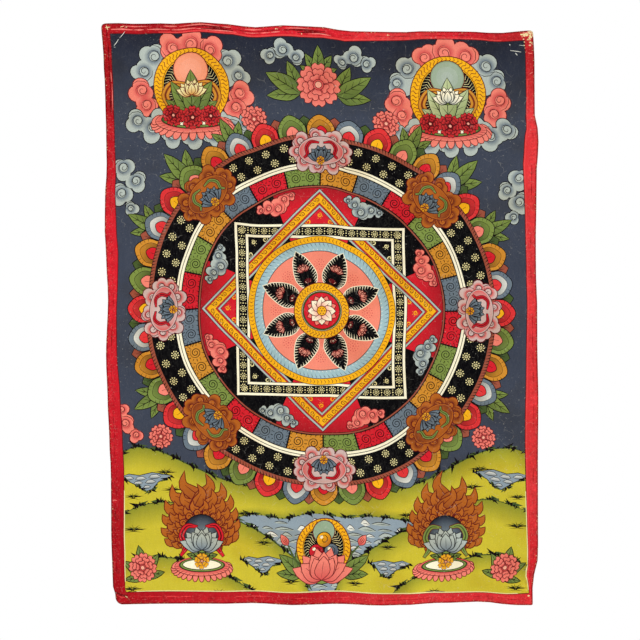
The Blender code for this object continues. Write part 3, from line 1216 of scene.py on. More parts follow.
def scratch(points, width, colour):
    """A thin bent scratch through a few spots."""
    stroke(flowing(spots(points), 3), width, colour, 0.3)

# %% Paint shade, highlights and rubbing along the margin
# Lines along the hem's ridge and the rolled edge: the dark ones are painted shade, the pale ones partly
# rubbed paint and partly painted highlight. Start, end, width, colour, share of gaps, sideways drift, seed.
RUBBED_LINES = (
    (-216 + 3.4j, -6 + 3.2j, 0.75, RUBBED, 0.45, 0.8, 1),
    (-218 + 5j, -4 + 4.9j, 1.1, CRIMSON_DEEP, 0.1, 0.5, 7),
    (-214 + 6.6j, 2 + 6.7j, 0.9, RUBBED, 0.3, 0.7, 3),
    (10 + 4.8j, 208 + 4.6j, 0.6, CRIMSON_DEEP, 0.55, 0.7, 5),
    (-218.6 + 6j, -218.3 + 92j, 1.2, CRIMSON_FOLD, 0, 0.3, 11),
    (-216.8 + 12j, -216.6 + 90j, 0.7, RUBBED, 0.5, 0.6, 13),
    (-218.6 + 84j, -218.4 + 500j, 0.5, CRIMSON_DEEP, 0.6, 0.7, 15),
    (-219.6 + 500j, -219.4 + 568j, 0.8, CRIMSON_FOLD, 0.2, 0.5, 17),
    (-217.8 + 505j, -217.6 + 572j, 0.5, CRIMSON_PALE, 0.4, 0.5, 19),
    (218.6 + 40j, 218.8 + 560j, 0.5, CRIMSON_DEEP, 0.65, 0.7, 21),
    (-206 + 590.4j, 210 + 590.6j, 0.5, CRIMSON_DEEP, 0.55, 0.6, 23),
    (-200 + 588.6j, 206 + 588.8j, 0.5, CRIMSON_PALE, 0.6, 0.8, 25),
)
# Paint the shade and highlights of the hem's ridge and rolled edge, partly rubbed pale, and at each fold
# where the top edge lifts a dark stroke, its painted shadow, with pale strokes beside it, painted highlights.
for row in RUBBED_LINES:
    rubbed_line(*row)
for x, y, long in ((-112, 3.9, 46), (-104, 5.8, 34), (-14, 4.2, 44), (-6, 6, 30)):
    fold = spots(((x - long / 2, y + 0.9), (x, y - 0.3), (x + long / 2, y + 0.7)))
    stroke(fold, 1.5, CRIMSON_FOLD, 0.1)
for x, y, long in ((-118, 2.5, 30), (-98, 7.4, 28), (-20, 2.7, 26), (2, 7.3, 24)):
    stroke(spots(((x - long / 2, y + 0.5), (x, y - 0.2), (x + long / 2, y + 0.4))), 0.75, RUBBED, 0.1)
tell("margin shade and highlight lines")

# %% Where the corners and edges are worn
# The crease of the upper left corner, once folded over, and the cracked paint beside it.
CREASE = (
    (((-199.5, 8.6), (-202.6, 12.4), (-205.8, 15.6)), 0.35, CHALK),
    (((-207, 17), (-209.8, 20.6), (-212.4, 23.4)), 0.45, CHALK),
    (((-204, 4.4), (-200.4, 3.4)), 0.5, BARE_COTTON),
    (((-198.8, 4.4), (-196.8, 3.9)), 0.6, BARE_COTTON),
    (((-201.4, 6.6), (-199, 6.2)), 0.5, RUBBED),
    (((-218.6, 2.4), (-217.2, 7.2)), 0.7, BARE_COTTON),
    (((-219.8, 4.6), (-214.6, 4.2)), 0.7, BARE_COTTON),
    (((-212.8, 24.6), (-211, 25.2)), 0.4, MIST),
)
# Scratches beside the upper right corner, and at the folded lower left one the dip: a dark line, the fold's
# painted shadow, a pale line and a small pale glint, painted highlights, and two thin dark marks.
MARKS = (
    (((199, 19.2), (204.6, 20.4), (210.4, 21.9)), 0.45, CHALK),
    (((204.2, 22.3), (206.3, 24.9)), 0.5, CHALK),
    (((198.6, 12.6), (199.6, 14)), 0.5, CHALK),
    (((208.4, 14.4), (211.6, 15.2), (214.2, 15.4)), 0.4, MIST),
    (((217, 23.2), (219.6, 24), (221.6, 23.8)), 0.5, RUBBED),
    (((218.6, 45.4), (220.6, 44.2), (222.3, 43.4)), 0.6, RUBBED),
    (((-222.2, 490.6), (-220, 489.8), (-217.6, 490.4)), 0.5, RUBBED),
    (((-223, 582.2), (-219.6, 585), (-215.6, 586.4), (-210.6, 586.6)), 1.5, CRIMSON_FOLD),
    (((-222.4, 585.4), (-218.4, 588), (-212.6, 588.8)), 0.6, CRIMSON_PALE),
    (((-214.6, 587.6), (-211, 590.2), (-207.6, 592.6)), 0.5, FLAME_DEEP),
    (((-213.2, 587.2), (-210.8, 588.8)), 0.6, BARE_COTTON),
    (((-204, 588.6), (-200.8, 592.8)), 0.45, CRIMSON_DEEP),
)
# Flakes lost along the margin: across, down, size.
CHIPS = (
    (-43, 3.6, 1), (-41.2, 3.9, 0.6), (-16.5, 8, 0.8), (73, 3.6, 0.9), (74.6, 3.8, 0.5), (219.4, 586, 1.9),
    (-222.2, 32.4, 0.7), (-222.1, 36, 0.5), (-222.3, 64, 0.6), (-222.2, 499, 0.7), (-221.6, 412, 0.5),
    (-222.3, 300, 0.45), (222.3, 181, 0.6), (222.2, 252, 0.6), (222.4, 333, 0.5), (222.2, 402, 0.6),
    (222.3, 470, 0.55), (222.1, 545, 0.7), (-150, 593.8, 0.5), (-20, 594, 0.5), (96, 593.8, 0.6),
    (160, 594.1, 0.5), (-90, 2, 0.5), (150, 2, 0.5),
)
CORNER_CHIPS = (
    (213.6, 8.8, 1), (214.2, 11.8, 0.8), (213.8, 15, 0.9), (214.4, 18, 0.6), (212.2, 6.2, 0.6),
    (215, 22.4, 0.5), (222.2, 14.4, 0.7), (222, 21, 0.5),
)

# %% Wear the corners and edges
# Crease, chip and scratch; the upper right corner has lost its paint in flecks.
for points, width, colour in CREASE:
    scratch(points, width, colour)
for x, y, size in CHIPS:
    chip(at(x, y), size, x + y)
for k in range(40):
    spot = at(222.4 - 11 * chance(k) ** 1.3, 1.6 + 15 * chance(k + 0.4) ** 1.6)
    chip(spot, 0.5 + 1.2 * chance(k + 0.8), k, (BARE_COTTON, STRAW, RUBBED)[k % 3])
for x, y, size in CORNER_CHIPS:
    chip(at(x, y), size, 3 * x + y)
for points, width, colour in MARKS:
    scratch(points, width, colour)
tell("wear")
print("points drawn:", sum(len(shape[0]) for shape in shapes))

# %% [markdown]
# ## The shape of the cloth
# A sheet cut and hemmed by hand is never a true rectangle. Its four edges stray by a few
# millimetres, its corners are rounded, and after years of being rolled up it swells here
# and there. A table for each edge and a table of swells give the same shape as the CAD
# solid. Code is the plain way to make such a sheet: an even grid bent by these tables
# keeps its size, which a cloth simulation would stretch.

# %% The sheet's own edges and swells
# One thickness of the cloth. It lies double at the hem.
CLOTH = 1.2

# Distance along the edge, and how far it strays up or to the right.
LEFT_EDGE = (
    (0, -1), (35, 1.6), (70, 3.2), (118, 4.2), (148, 4.6), (178, 2.7), (212, 2.6), (240, 4.2), (284, 6.2),
    (343, 4.2), (385, 5.6), (428, 7.4), (462, 8.9), (524, 9.1), (552, 10.3), (580, 12), (585, 14.4),
    (596, 15.4),
)
RIGHT_EDGE = (
    (0, -2.8), (30, -1.4), (88, -1.2), (106, 2), (122, 2.4), (140, 0.8), (180, 0.7), (221, 0.2),
    (254, 0.3), (287, 1.4), (325, 1.5), (385, 2.3), (428, 2.1), (490, 2.2), (535, 2.3), (553, 1.5),
    (560, -1.2), (569, -4), (596, -3.7),
)
TOP_EDGE = (
    (0, 4), (20, 4.4), (38, 3.5), (58, 4.4), (80, 3.7), (98, 5.2), (132, 3), (156, 0.2), (189, 2),
    (214, 0.6), (230, 0), (241, -1.8), (252, -4), (312, -4.8), (335, -3.7), (365, -4), (390, -4.5),
    (408, -6), (448, -3.2),
)
BOTTOM_EDGE = (
    (0, 1), (60, 1.2), (112, 1), (150, 2.2), (192, 0), (238, 1.2), (284, -0.9), (312, -0.2), (345, 2.2),
    (390, 3.7), (430, -0.1), (448, -0.2),
)
CORNER_ROUND = {
    ("left", "top"): 4.5, ("right", "top"): 3.5, ("left", "bottom"): 7, ("right", "bottom"): 1.8,
}

# Across from the middle, down from the top, half width, half height, how far forward.
SWELLS = (
    (-112, 0, 30, 9, 2.6), (-158, 0, 16, 12, -1.4), (-14, 2, 28, 8, 2), (-62, 2, 18, 14, -1.2),
    (120, 0, 44, 18, -1.6), (224, 120, 16, 26, 3.4), (224, 214, 20, 40, -1.8), (224, 390, 18, 46, 2.2),
    (226, 566, 18, 14, 2.4), (-224, 40, 18, 26, 1.8), (-220, 170, 20, 34, -2), (-220, 320, 18, 40, 1.6),
    (-216, 500, 20, 38, -1.8), (-208, 586, 20, 18, 3.2), (-120, 596, 40, 14, -1.8), (-50, 596, 24, 12, 2),
    (70, 596, 34, 14, -1.6), (150, 596, 26, 14, 2.2), (-60, 250, 110, 120, 1.2), (90, 410, 100, 90, -1.4),
)
# The foot curls forward, as it did when the sheet was rolled up.
ROLL_REACH, ROLL_BEND = 70, 3.5
print("the edge strays most at the lower left:", max(LEFT_EDGE, key=lambda row: row[1]))

# %% Read the edges and round the corners
def smooth(t):
    """Ease from 0 to 1."""
    t = clamped(t)
    return t * t * (3 - 2 * t)


def stray(table, along):
    """Read an edge's table at a distance, easing from row to row."""
    if along <= table[0][0]:
        return table[0][1]
    for (start, low), (end, high) in zip(table, table[1:]):
        if along <= end:
            return low + (high - low) * smooth((along - start) / (end - start))
    return table[-1][1]


def round_corner(across, down):
    """Pull a point that lies in a corner square onto that corner's round."""
    side = "left" if across < WIDTH / 2 else "right"
    end = "top" if down < HEIGHT / 2 else "bottom"
    radius = CORNER_ROUND[side, end]
    inset_x = across if side == "left" else WIDTH - across
    inset_z = down if end == "top" else HEIGHT - down
    if inset_x >= radius or inset_z >= radius:
        return across, down
    a, b = 1 - inset_x / radius, 1 - inset_z / radius
    inset_x = radius * (1 - a * sqrt(1 - b * b / 2))
    inset_z = radius * (1 - b * sqrt(1 - a * a / 2))
    return (inset_x if side == "left" else WIDTH - inset_x, inset_z if end == "top" else HEIGHT - inset_z)


def outline_point(p):
    """Carry a point of the straight rectangle onto the uneven sheet, as x and z."""
    across, down = round_corner(p.real + WIDTH / 2, p.imag)
    right_share, low_share = across / WIDTH, down / HEIGHT
    left, right = stray(LEFT_EDGE, down), stray(RIGHT_EDGE, down)
    top, bottom = stray(TOP_EDGE, across), stray(BOTTOM_EDGE, across)
    x = across - WIDTH / 2 + left * (1 - right_share) + right * right_share
    z = -down + top * (1 - low_share) + bottom * low_share
    return x, z

# %% How the cloth swells
def relief(x, z):
    """Where the cloth's plane lies, and its slopes across and up; forward is -Y."""
    y, slope_x, slope_z = 0, 0, 0
    for across, down, half_width, half_height, forward in SWELLS:
        dx, dz = (x - across) / half_width, (-z - down) / half_height
        reach = dx * dx + dz * dz
        if reach < 16:
            swell = forward * exp(-reach)
            y -= swell
            slope_x += 2 * swell * dx / half_width
            slope_z -= 2 * swell * dz / half_height
    t = clamped(1 - (HEIGHT + z) / ROLL_REACH)
    return y - ROLL_BEND * smooth(t), slope_x, slope_z + ROLL_BEND * 6 * t * (1 - t) / ROLL_REACH


HELD_Y = relief(0, 0)[0]


def by_hand(p):
    """Let every drawn line wander a little, and not at all at the sheet's edges."""
    x, y = p.real, p.imag
    calm = smooth((min(WIDTH / 2 - abs(x), y, HEIGHT - y) - 3) / 40)
    dx = 0.8 * sin(x / 47 + y / 71 + 1.3) * cos(y / 39 + 0.4) + 0.32 * sin(x / 11 + y / 17 + 2)
    dy = 0.8 * sin(x / 43 - y / 59 + 4.1) * cos(x / 67 + 2.2) + 0.32 * sin(y / 12 - x / 19 + 0.7)
    return p + calm * complex(dx, dy)


print("the cloth lies", round(-relief(-112, 0)[0], 1), "mm forward at a swell of the top edge")

# %% [markdown]
# ## One map of touching patches
# Paint lies in layers, but a mesh surface must not overlap itself. A triangulation with
# fixed edges (a constrained Delaunay triangulation) turns all the shapes into one flat
# map in which no edges cross. Each patch of the map takes the colour of the topmost
# shape over it, with any washes above that. A first pass finds which edges still part
# two colours. Most are hidden under later paint and are let go. A second pass makes the
# final triangles from the edges that are left, so that fine brushwork costs few faces.

# %% The sheet's grid
# Steps in from the edge: two round the rim, four over the hem, its raw edge, and two beyond.
RIM_STEPS = (0, 0.35, 0.9, 2.4, 5.2, 6.2, 6.8, 11, 18)
# The painted map starts at the rim line, and the cloth bends along the fold lines.
RIM_LINE, HEM_LINE = 2, 6
FOLD_LINES = (3, 4, HEM_LINE)
# Grid spacing further in, and the longest edge of a painted line.
GRID, EDGE_LENGTH = 14, 8


def steps(length):
    """Grid distances along one side: close ones at the hem, even ones between."""
    inner = length - 2 * RIM_STEPS[-1]
    count = round(inner / GRID)
    middle = [RIM_STEPS[-1] + inner * i / count for i in range(1, count)]
    return list(RIM_STEPS) + middle + [length - step for step in reversed(RIM_STEPS)]


columns = [across - WIDTH / 2 for across in steps(WIDTH)]
rows = steps(HEIGHT)
left, right = columns[RIM_LINE], columns[-1 - RIM_LINE]
top, bottom = rows[RIM_LINE], rows[-1 - RIM_LINE]


def ring(step):
    """The grid places round the sheet at one step in from its edge, as a closed loop."""
    low, wide, tall = step, len(columns) - 1 - step, len(rows) - 1 - step
    return ([(i, low) for i in range(low, wide)] + [(wide, j) for j in range(low, tall)]
            + [(i, tall) for i in range(wide, low, -1)] + [(low, j) for j in range(tall, low, -1)])


def pairs_round(loop):
    """Each place of a closed loop with the next one."""
    return zip(loop, loop[1:] + loop[:1])


print("grid of the sheet:", len(columns), "by", len(rows), "places")

# %% First pass: what lies on top
# Points closer than this, in millimetres, are one.
SNAP = 1e-4


def top_down(ids):
    """The topmost opaque shape and the washes over it, lowest first."""
    key = []
    for i in sorted(ids, reverse=True):
        if i < len(shapes):
            key.append(i if shapes[i][2] else shapes[i][1])
            if not shapes[i][2]:
                break
    return tuple(reversed(key))


def from_outermost(outline):
    """Start an outline at its highest point and turn it the right way there, so that the fill
    begins inside it even where a fine tip crosses itself."""
    count = len(outline)
    k = min(range(count), key=lambda i: (outline[i].imag, outline[i].real))
    before, here, after = outline[k - 1], outline[k], outline[(k + 1) % count]
    turned = outline[k:] + outline[:k]
    if cross(here - before, after - here) > 0:
        return turned
    return turned[:1] + turned[:0:-1]


def first_pass():
    """Triangulate all the shapes. Give the edges that part two colours, with the colour on each
    side. A small triangle far outside catches the shapes whose fill runs out, to leave them out."""
    outlines = [shape[0] for shape in shapes]
    outlines.append(spots(((left, top), (right, top), (right, bottom), (left, bottom))))
    outlines.append(spots(((-999, -999), (-998, -999), (-999, -998))))
    points, faces = [], []
    for outline in outlines:
        faces.append(list(range(len(points), len(points) + len(outline))))
        points.extend(Vector((p.real, p.imag)) for p in from_outermost(outline))
    places, _, triangles, _, _, origins = delaunay_2d_cdt(points, [], faces, 0, SNAP, True)
    frame_id = len(shapes)
    spilt = next(set(ids) for ids in origins if frame_id + 1 in ids) - {frame_id + 1}
    keys, known = [], {}
    for ids in origins:
        ids = tuple(ids)
        if ids not in known:
            known[ids] = top_down(set(ids) - spilt) if frame_id in ids else None
        keys.append(known[ids])
    sides = {pair: key for face, key in zip(triangles, keys) for pair in pairs_round(face)}
    kept = {}
    for (a, b), key in sides.items():
        other = sides.get((b, a))
        if key is not None and other is not None and key != other:
            kept[a, b] = key
            kept[b, a] = other
    print(f"first pass: {len(points)} drawn points, {len(triangles)} triangles, {len(spilt)} shapes left out")
    print(f"{len(kept) // 2} edges of {len(sides) // 2} still part two colours")
    return [complex(*place) for place in places], kept

# %% Let go of points on straight lines
def straighten(spots, kept, slack=0.055):
    """Drop the points at which a line runs straight on."""
    beside = defaultdict(set)
    for a, b in kept:
        beside[a].add(b)
    for v in list(beside):
        if len(beside[v]) != 2:
            continue
        a, b = beside[v]
        if b in beside[a]:
            continue
        run, step = spots[b] - spots[a], spots[v] - spots[a]
        if abs(run) and abs(cross(run, step)) / abs(run) < slack and 0 < dot(run, step) < abs(run) ** 2:
            kept[a, b], kept[b, a] = kept[a, v], kept[b, v]
            for pair in ((a, v), (v, a), (b, v), (v, b)):
                del kept[pair]
            beside[a].discard(v)
            beside[b].discard(v)
            beside[a].add(b)
            beside[b].add(a)
            del beside[v]
    return beside


map_points, kept = first_pass()
beside = straighten(map_points, kept)
print(f"{len(beside)} points are left where lines bend or meet")

# %% Second pass: the final map
def grid_lines():
    """The grid's places inside the rim, and the loops of edges along which the cloth bends."""
    index, points, edges = {}, [], []
    for j, down in enumerate(rows):
        for i, across in enumerate(columns):
            if min(i, j) >= RIM_LINE and i < len(columns) - RIM_LINE and j < len(rows) - RIM_LINE:
                index[i, j] = len(points)
                points.append(complex(across, down))
    for step in (RIM_LINE, *FOLD_LINES):
        edges += [(index[here], index[there]) for here, there in pairs_round(ring(step))]
    return index, points, edges


def second_pass(spots, kept, beside):
    """Triangulate the edges that are left together with the sheet's grid."""
    index, points, edges = grid_lines()
    nodes = {number: place for place, number in index.items()}
    colours = [None] * len(edges)
    numbers = {v: len(points) + k for k, v in enumerate(beside)}
    points.extend(spots[v] for v in beside)
    for (a, b), key in kept.items():
        if a > b:
            continue
        pieces = max(1, round(abs(spots[b] - spots[a]) / EDGE_LENGTH))
        chain = [numbers[a]]
        for k in range(1, pieces):
            chain.append(len(points))
            points.append(spots[a] + (spots[b] - spots[a]) * k / pieces)
        chain.append(numbers[b])
        for pair in zip(chain, chain[1:]):
            edges.append(pair)
            colours.append((key, kept[b, a]))
    flat = [Vector((p.real, p.imag)) for p in points]
    spots, lines, triangles, spot_from, line_from, _ = delaunay_2d_cdt(flat, edges, [], 0, SNAP, True)
    spots = [complex(*spot) for spot in spots]
    sides = {}
    for (a, b), sources in zip(lines, line_from):
        source = next((k for k in sources if colours[k]), None)
        if source is None:
            continue
        start, end = (points[k] for k in edges[source])
        run, step = end - start, spots[b] - spots[a]
        sides[a, b], sides[b, a] = colours[source][::1 if dot(run, step) > 0 else -1]
    node_of = {k: nodes[v] for k, sources in enumerate(spot_from) for v in sources if v in nodes}
    return spots, triangles, sides, node_of


map_points, triangles, sides, node_of = second_pass(map_points, kept, beside)
print(f"second pass: {len(map_points)} points, {len(triangles)} triangles")

# %% Fill the patches
def fill_in(triangles, sides):
    """Give every triangle the colour beside its drawn edges, and spread it to the rest of its patch."""
    owner = {pair: number for number, face in enumerate(triangles) for pair in pairs_round(face)}
    keys = [next((sides[pair] for pair in pairs_round(face) if pair in sides), None) for face in triangles]
    front = [number for number, key in enumerate(keys) if key is not None]
    while front:
        number = front.pop()
        for a, b in pairs_round(triangles[number]):
            other = owner.get((b, a))
            if other is not None and keys[other] is None and (b, a) not in sides:
                keys[other] = keys[number]
                front.append(other)
    return keys


keys = fill_in(triangles, sides)
print("triangles without a colour:", keys.count(None))

# %% [markdown]
# ## From the flat map to the hanging sheet
# Each point of the map is carried onto the cloth's shape. The front is the map, the back
# is the plain grid, and the hem is a second thickness along the edges of the back. The
# two are joined by a narrow rounded rim, so the sheet is closed like the real one.

# %% Carry a point onto the cloth
MM = 0.001
HEM_WIDTH, HEM_LIFT = 6.5, 0.5
# Over the hem the front rises in the first of these widths. From the second on it sinks
# again, over the third.
LIFT_RISE, LIFT_END, LIFT_FALL = 2.4, 5.2, 1.6
# How far off the points lie from which a normal is read, near the edge.
NEAR = 0.3


def from_edge(p):
    """How far a point lies inside the sheet's edge."""
    return min(WIDTH / 2 - abs(p.real), p.imag, HEIGHT - p.imag)


def front_at(p):
    """A point of the painted face in millimetres. The hem behind it lifts the margin."""
    x, z = outline_point(p)
    to_edge = from_edge(p)
    lift = HEM_LIFT * smooth(to_edge / LIFT_RISE) * (1 - smooth((to_edge - LIFT_END) / LIFT_FALL))
    return Vector((x, relief(x, z)[0] - HELD_Y - CLOTH - lift, z))


def front_place(p, sink=0):
    """A point of the painted face, in metres, with its normal. Near the edge the normal comes
    from four points close by, and further in from the slopes of the swells."""
    p = by_hand(p)
    place = front_at(p)
    if from_edge(p) < HEM_WIDTH + 1.5:
        across = front_at(p + NEAR) - front_at(p - NEAR)
        down = front_at(p + NEAR * 1j) - front_at(p - NEAR * 1j)
        normal = across.cross(-down)
    else:
        y, slope_x, slope_z = relief(place.x, place.z)
        normal = Vector((slope_x, -1, slope_z))
    place.y += sink
    return place * MM, -normal.normalized() if normal.y > 0 else normal.normalized()


def hem_wave(p):
    """How far the raw edge of the hem strays on the back."""
    return 0.9 * sin(p.real / 23 + p.imag / 31 + 0.6) + 0.4 * sin(p.real / 7.3 - p.imag / 9.1)


def back_place(p, sink=0):
    """A point of the back. The hem lies one thickness further out."""
    to_edge = from_edge(p)
    spot = p
    if abs(to_edge - HEM_WIDTH) < 0.5:
        if WIDTH / 2 - abs(p.real) == to_edge:
            spot -= hem_wave(p) * (1 if p.real > 0 else -1)
        else:
            spot += hem_wave(p) * (1j if p.imag < HEIGHT / 2 else -1j)
    x, z = outline_point(spot)
    y, slope_x, slope_z = relief(x, z)
    hem = CLOTH if to_edge < HEM_WIDTH else 0
    return Vector((x, y - HELD_Y + hem - sink, z)) * MM, Vector((-slope_x, 1, -slope_z)).normalized()


print("the front of the sheet's middle lies at", tuple(front_place(300j)[0]))

# %% The paint at a point, and what shows on the back
COTTON = srgb(234, 222, 196)
# The share of the paint in front that shows on the back.
SHOW_THROUGH = 0.16


def laid(colour, washes, p):
    """A paint with each wash laid over it, at one point."""
    red, green, blue = colour
    for (r, g, b), fade in washes:
        solid = fade(p)
        red, green, blue = red + (r - red) * solid, green + (g - green) * solid, blue + (b - blue) * solid
    return red, green, blue


def mixed(key, p):
    """The colour of a patch of the map at a point."""
    return laid(key[0], [(shapes[i][1], shapes[i][2]) for i in key[1:]], p)


def margin_red(p):
    """The red of the margin, for the faces round the rim."""
    return laid(CRIMSON, MARGIN_WASHES, p)


def nearest(steps, value):
    """The number of the grid step nearest to a value."""
    k = bisect(steps, value)
    return k - 1 if k == len(steps) or (k and value - steps[k - 1] < steps[k] - value) else k


def show_through(spots, triangles, keys, tints):
    """The cotton of the back at every grid place, tinted a little by the paint in front of it."""
    sums = defaultdict(lambda: [0, 0, 0, 0])
    for corners, key in zip(triangles, keys):
        a, b, c = (spots[v] for v in corners)
        area = abs(cross(b - a, c - a))
        middle = (a + b + c) / 3
        tone = tints[corners[0], key]
        total = sums[nearest(columns, middle.real), nearest(rows, middle.imag)]
        for k, value in enumerate((*tone, 1)):
            total[k] += area * value
    tinted = {}
    for i in range(len(columns)):
        for j in range(len(rows)):
            red, green, blue, area = sums[i, j]
            tone = (red / area, green / area, blue / area) if area else CRIMSON
            tinted[i, j] = tuple(c + (t - c) * SHOW_THROUGH for c, t in zip(COTTON, tone))
    return tinted

# %% The painted face
class Sheet:
    """Collects the points and faces of the closed sheet."""

    def __init__(self):
        self.places, self.normals, self.flat = [], [], []
        self.faces, self.colours, self.slots = [], [], []

    def point(self, p, placed):
        self.places.append(placed[0])
        self.normals.append(placed[1])
        self.flat.append(p)
        return len(self.places) - 1

    def face(self, corners, colours, slot):
        self.faces.append(corners)
        self.colours.extend(colours)
        self.slots.append(slot)


def paint_face(sheet, keys):
    """Lay the painted face; give each point's number, and its paint in each patch."""
    numbers = [sheet.point(p, front_place(p)) for p in map_points]
    tints = {}
    for (a, b, c), key in zip(triangles, keys):
        for v in (a, b, c):
            if (v, key) not in tints:
                tints[v, key] = mixed(key, map_points[v])
        sheet.face([numbers[v] for v in (a, c, b)], [tints[v, key] for v in (a, c, b)], 0)
    return numbers, tints


sheet = Sheet()
keys = [key or (CRIMSON,) for key in keys]
numbers, tints = paint_face(sheet, keys)
through = show_through(map_points, triangles, keys, tints)
print("the face has", len(sheet.faces), "triangles")

# %% The rim, the hem and the back
# How far the two outer lines of each face sink, which rounds the rim.
RIM_SINK = (0.85, 0.25)


def add_back(sheet, front_nodes):
    """Lay the rim round the face, then the hem and the bare cotton of the back."""
    across_last, down_last = len(columns) - 1, len(rows) - 1
    back_nodes, reds = {}, {}
    for j, down in enumerate(rows):
        for i, across in enumerate(columns):
            p = complex(across, down)
            step = min(i, j, across_last - i, down_last - j)
            sink = RIM_SINK[step] if step < len(RIM_SINK) else 0
            if step < RIM_LINE:
                front_nodes[i, j] = sheet.point(p, front_place(p, sink))
            back_nodes[i, j] = sheet.point(p, back_place(p, sink))
            reds[i, j] = margin_red(p)
    for j in range(down_last):
        for i in range(across_last):
            cell = ((i, j), (i, j + 1), (i + 1, j + 1), (i + 1, j))
            step = min(i, j, across_last - 1 - i, down_last - 1 - j)
            if step < RIM_LINE:
                sheet.face([front_nodes[c] for c in cell], [reds[c] for c in cell], 0)
            tones, slot = (reds, 0) if step < HEM_LINE else (through, 1)
            sheet.face([back_nodes[c] for c in cell[::-1]], [tones[c] for c in cell[::-1]], slot)
    for here, there in pairs_round(ring(0)):
        corners = [front_nodes[here], front_nodes[there], back_nodes[there], back_nodes[here]]
        sheet.face(corners, [reds[c] for c in (here, there, there, here)], 0)


add_back(sheet, {place: numbers[k] for k, place in node_of.items()})
print("the whole sheet has", len(sheet.places), "points and", len(sheet.faces), "faces")

# %% Make the mesh
# Where each face lies on the baked image, as start and length: the painted front takes
# three quarters of the width, and the plain back the rest, turned as seen from behind.
BAKED_FRONT, BAKED_BACK, BAKED_UP = (0.003, 0.742), (0.998, -0.238), (0.003, 0.994)


def make_cloth(name, sheet):
    """Turn the collected sheet into a mesh with its colours, maps and normals."""
    mesh = bpy.data.meshes.new(name)
    mesh.from_pydata(sheet.places, [], sheet.faces)
    mesh.update()
    tint = mesh.color_attributes.new("Paint", "FLOAT_COLOR", "CORNER")
    tint.data.foreach_set("color", [value for tone in sheet.colours for value in (*tone, 1)])
    low, high = cad_box
    baked = mesh.uv_layers.new(name="OFBake")
    flat = mesh.uv_layers.new(name="Sheet")
    baked_uv, flat_uv = [], []
    for polygon in mesh.polygons:
        start, length = BAKED_BACK if sheet.normals[polygon.vertices[0]].y > 0 else BAKED_FRONT
        for k in polygon.vertices:
            place, p = sheet.places[k], sheet.flat[k]
            u = (place.x - low.x) / (high.x - low.x)
            v = (place.z - low.z) / (high.z - low.z)
            baked_uv.extend((start + length * u, BAKED_UP[0] + BAKED_UP[1] * v))
            flat_uv.extend(((p.real + WIDTH / 2) / WIDTH, 1 - p.imag / HEIGHT))
    baked.data.foreach_set("uv", baked_uv)
    flat.data.foreach_set("uv", flat_uv)
    mesh.polygons.foreach_set("material_index", sheet.slots)
    mesh.shade_smooth()
    mesh.normals_split_custom_set_from_vertices(sheet.normals)
    cloth = bpy.data.objects.new(name, mesh)
    bpy.context.scene.collection.objects.link(cloth)
    return cloth


cloth = make_cloth("painted_hanging", sheet)
print(len(cloth.data.vertices), "points,", sum(len(p.vertices) - 2 for p in cloth.data.polygons), "triangles")

# %% [markdown]
# ## The finishes
# Old distemper paint is matt, and never one flat colour: the brush leaves it cloudy, the
# threads and the chalk ground show through it, and handling rubs, cracks and stains it.
# The same threads and stains show on the back. Each effect is a shader node group, built
# once, with inputs that a material sets for itself. All of them read the sheet's own map
# in millimetres, so nothing slides where the cloth bends.

# %% A short way to place shader nodes
class Bench:
    """Places shader nodes in one tree and joins them."""

    def __init__(self, tree):
        self.tree = tree

    def feed(self, node, inputs):
        """Join or set inputs of a node, and give its outputs."""
        for name, value in inputs.items():
            if isinstance(value, bpy.types.NodeSocket):
                self.tree.links.new(value, node.inputs[name])
            else:
                node.inputs[name].default_value = value
        return node.outputs

    def add(self, kind, inputs=(), **settings):
        node = self.tree.nodes.new("ShaderNode" + kind)
        for name, value in settings.items():
            setattr(node, name, value)
        return self.feed(node, dict(inputs))

    def chain(self, operation, *values):
        """Join values by Math nodes, one after another."""
        total = values[0]
        for value in values[1:]:
            total = self.add("Math", {0: total, 1: value}, operation=operation)[0]
        return total

    def plus(self, *values):
        return self.chain("ADD", *values)

    def less(self, a, b):
        return self.chain("SUBTRACT", a, b)

    def times(self, *values):
        return self.chain("MULTIPLY", *values)

    def between(self, value, low, high):
        """0 below the low value, 1 above the high one, eased between them."""
        return self.add("MapRange", {"Value": value, "From Min": low, "From Max": high},
                        interpolation_type="SMOOTHSTEP")["Result"]

    def noise(self, place, across, down=None, detail=2, warp=0):
        """Noise whose grains are about so many millimetres across and down."""
        stretch = (1 / across, 1 / (down or across), 1)
        place = self.add("VectorMath", {0: place, 1: stretch}, operation="MULTIPLY")["Vector"]
        return self.add("TexNoise", {"Vector": place, "Scale": 1, "Detail": detail, "Distortion": warp},
                        noise_dimensions="2D")["Fac"]

    def patches(self, low, high, *noise):
        """Soft-edged patches: the places where a noise is above the low value."""
        return self.between(self.noise(*noise), low, high)

    def mix(self, share, a, b, blend="MIX"):
        """Lay colour b over colour a; sockets 6 and 7 of a Mix node are its two colours."""
        return self.add("Mix", {0: share, 6: a, 7: b}, data_type="RGBA", blend_type=blend)[2]

    def shade(self, change, colour):
        """Lighten or darken a colour by a share of its own value."""
        return self.add("HueSaturation", {"Value": self.plus(change, 1), "Color": colour})["Color"]

    def group(self, tree, **inputs):
        return self.add("Group", inputs, node_tree=tree)


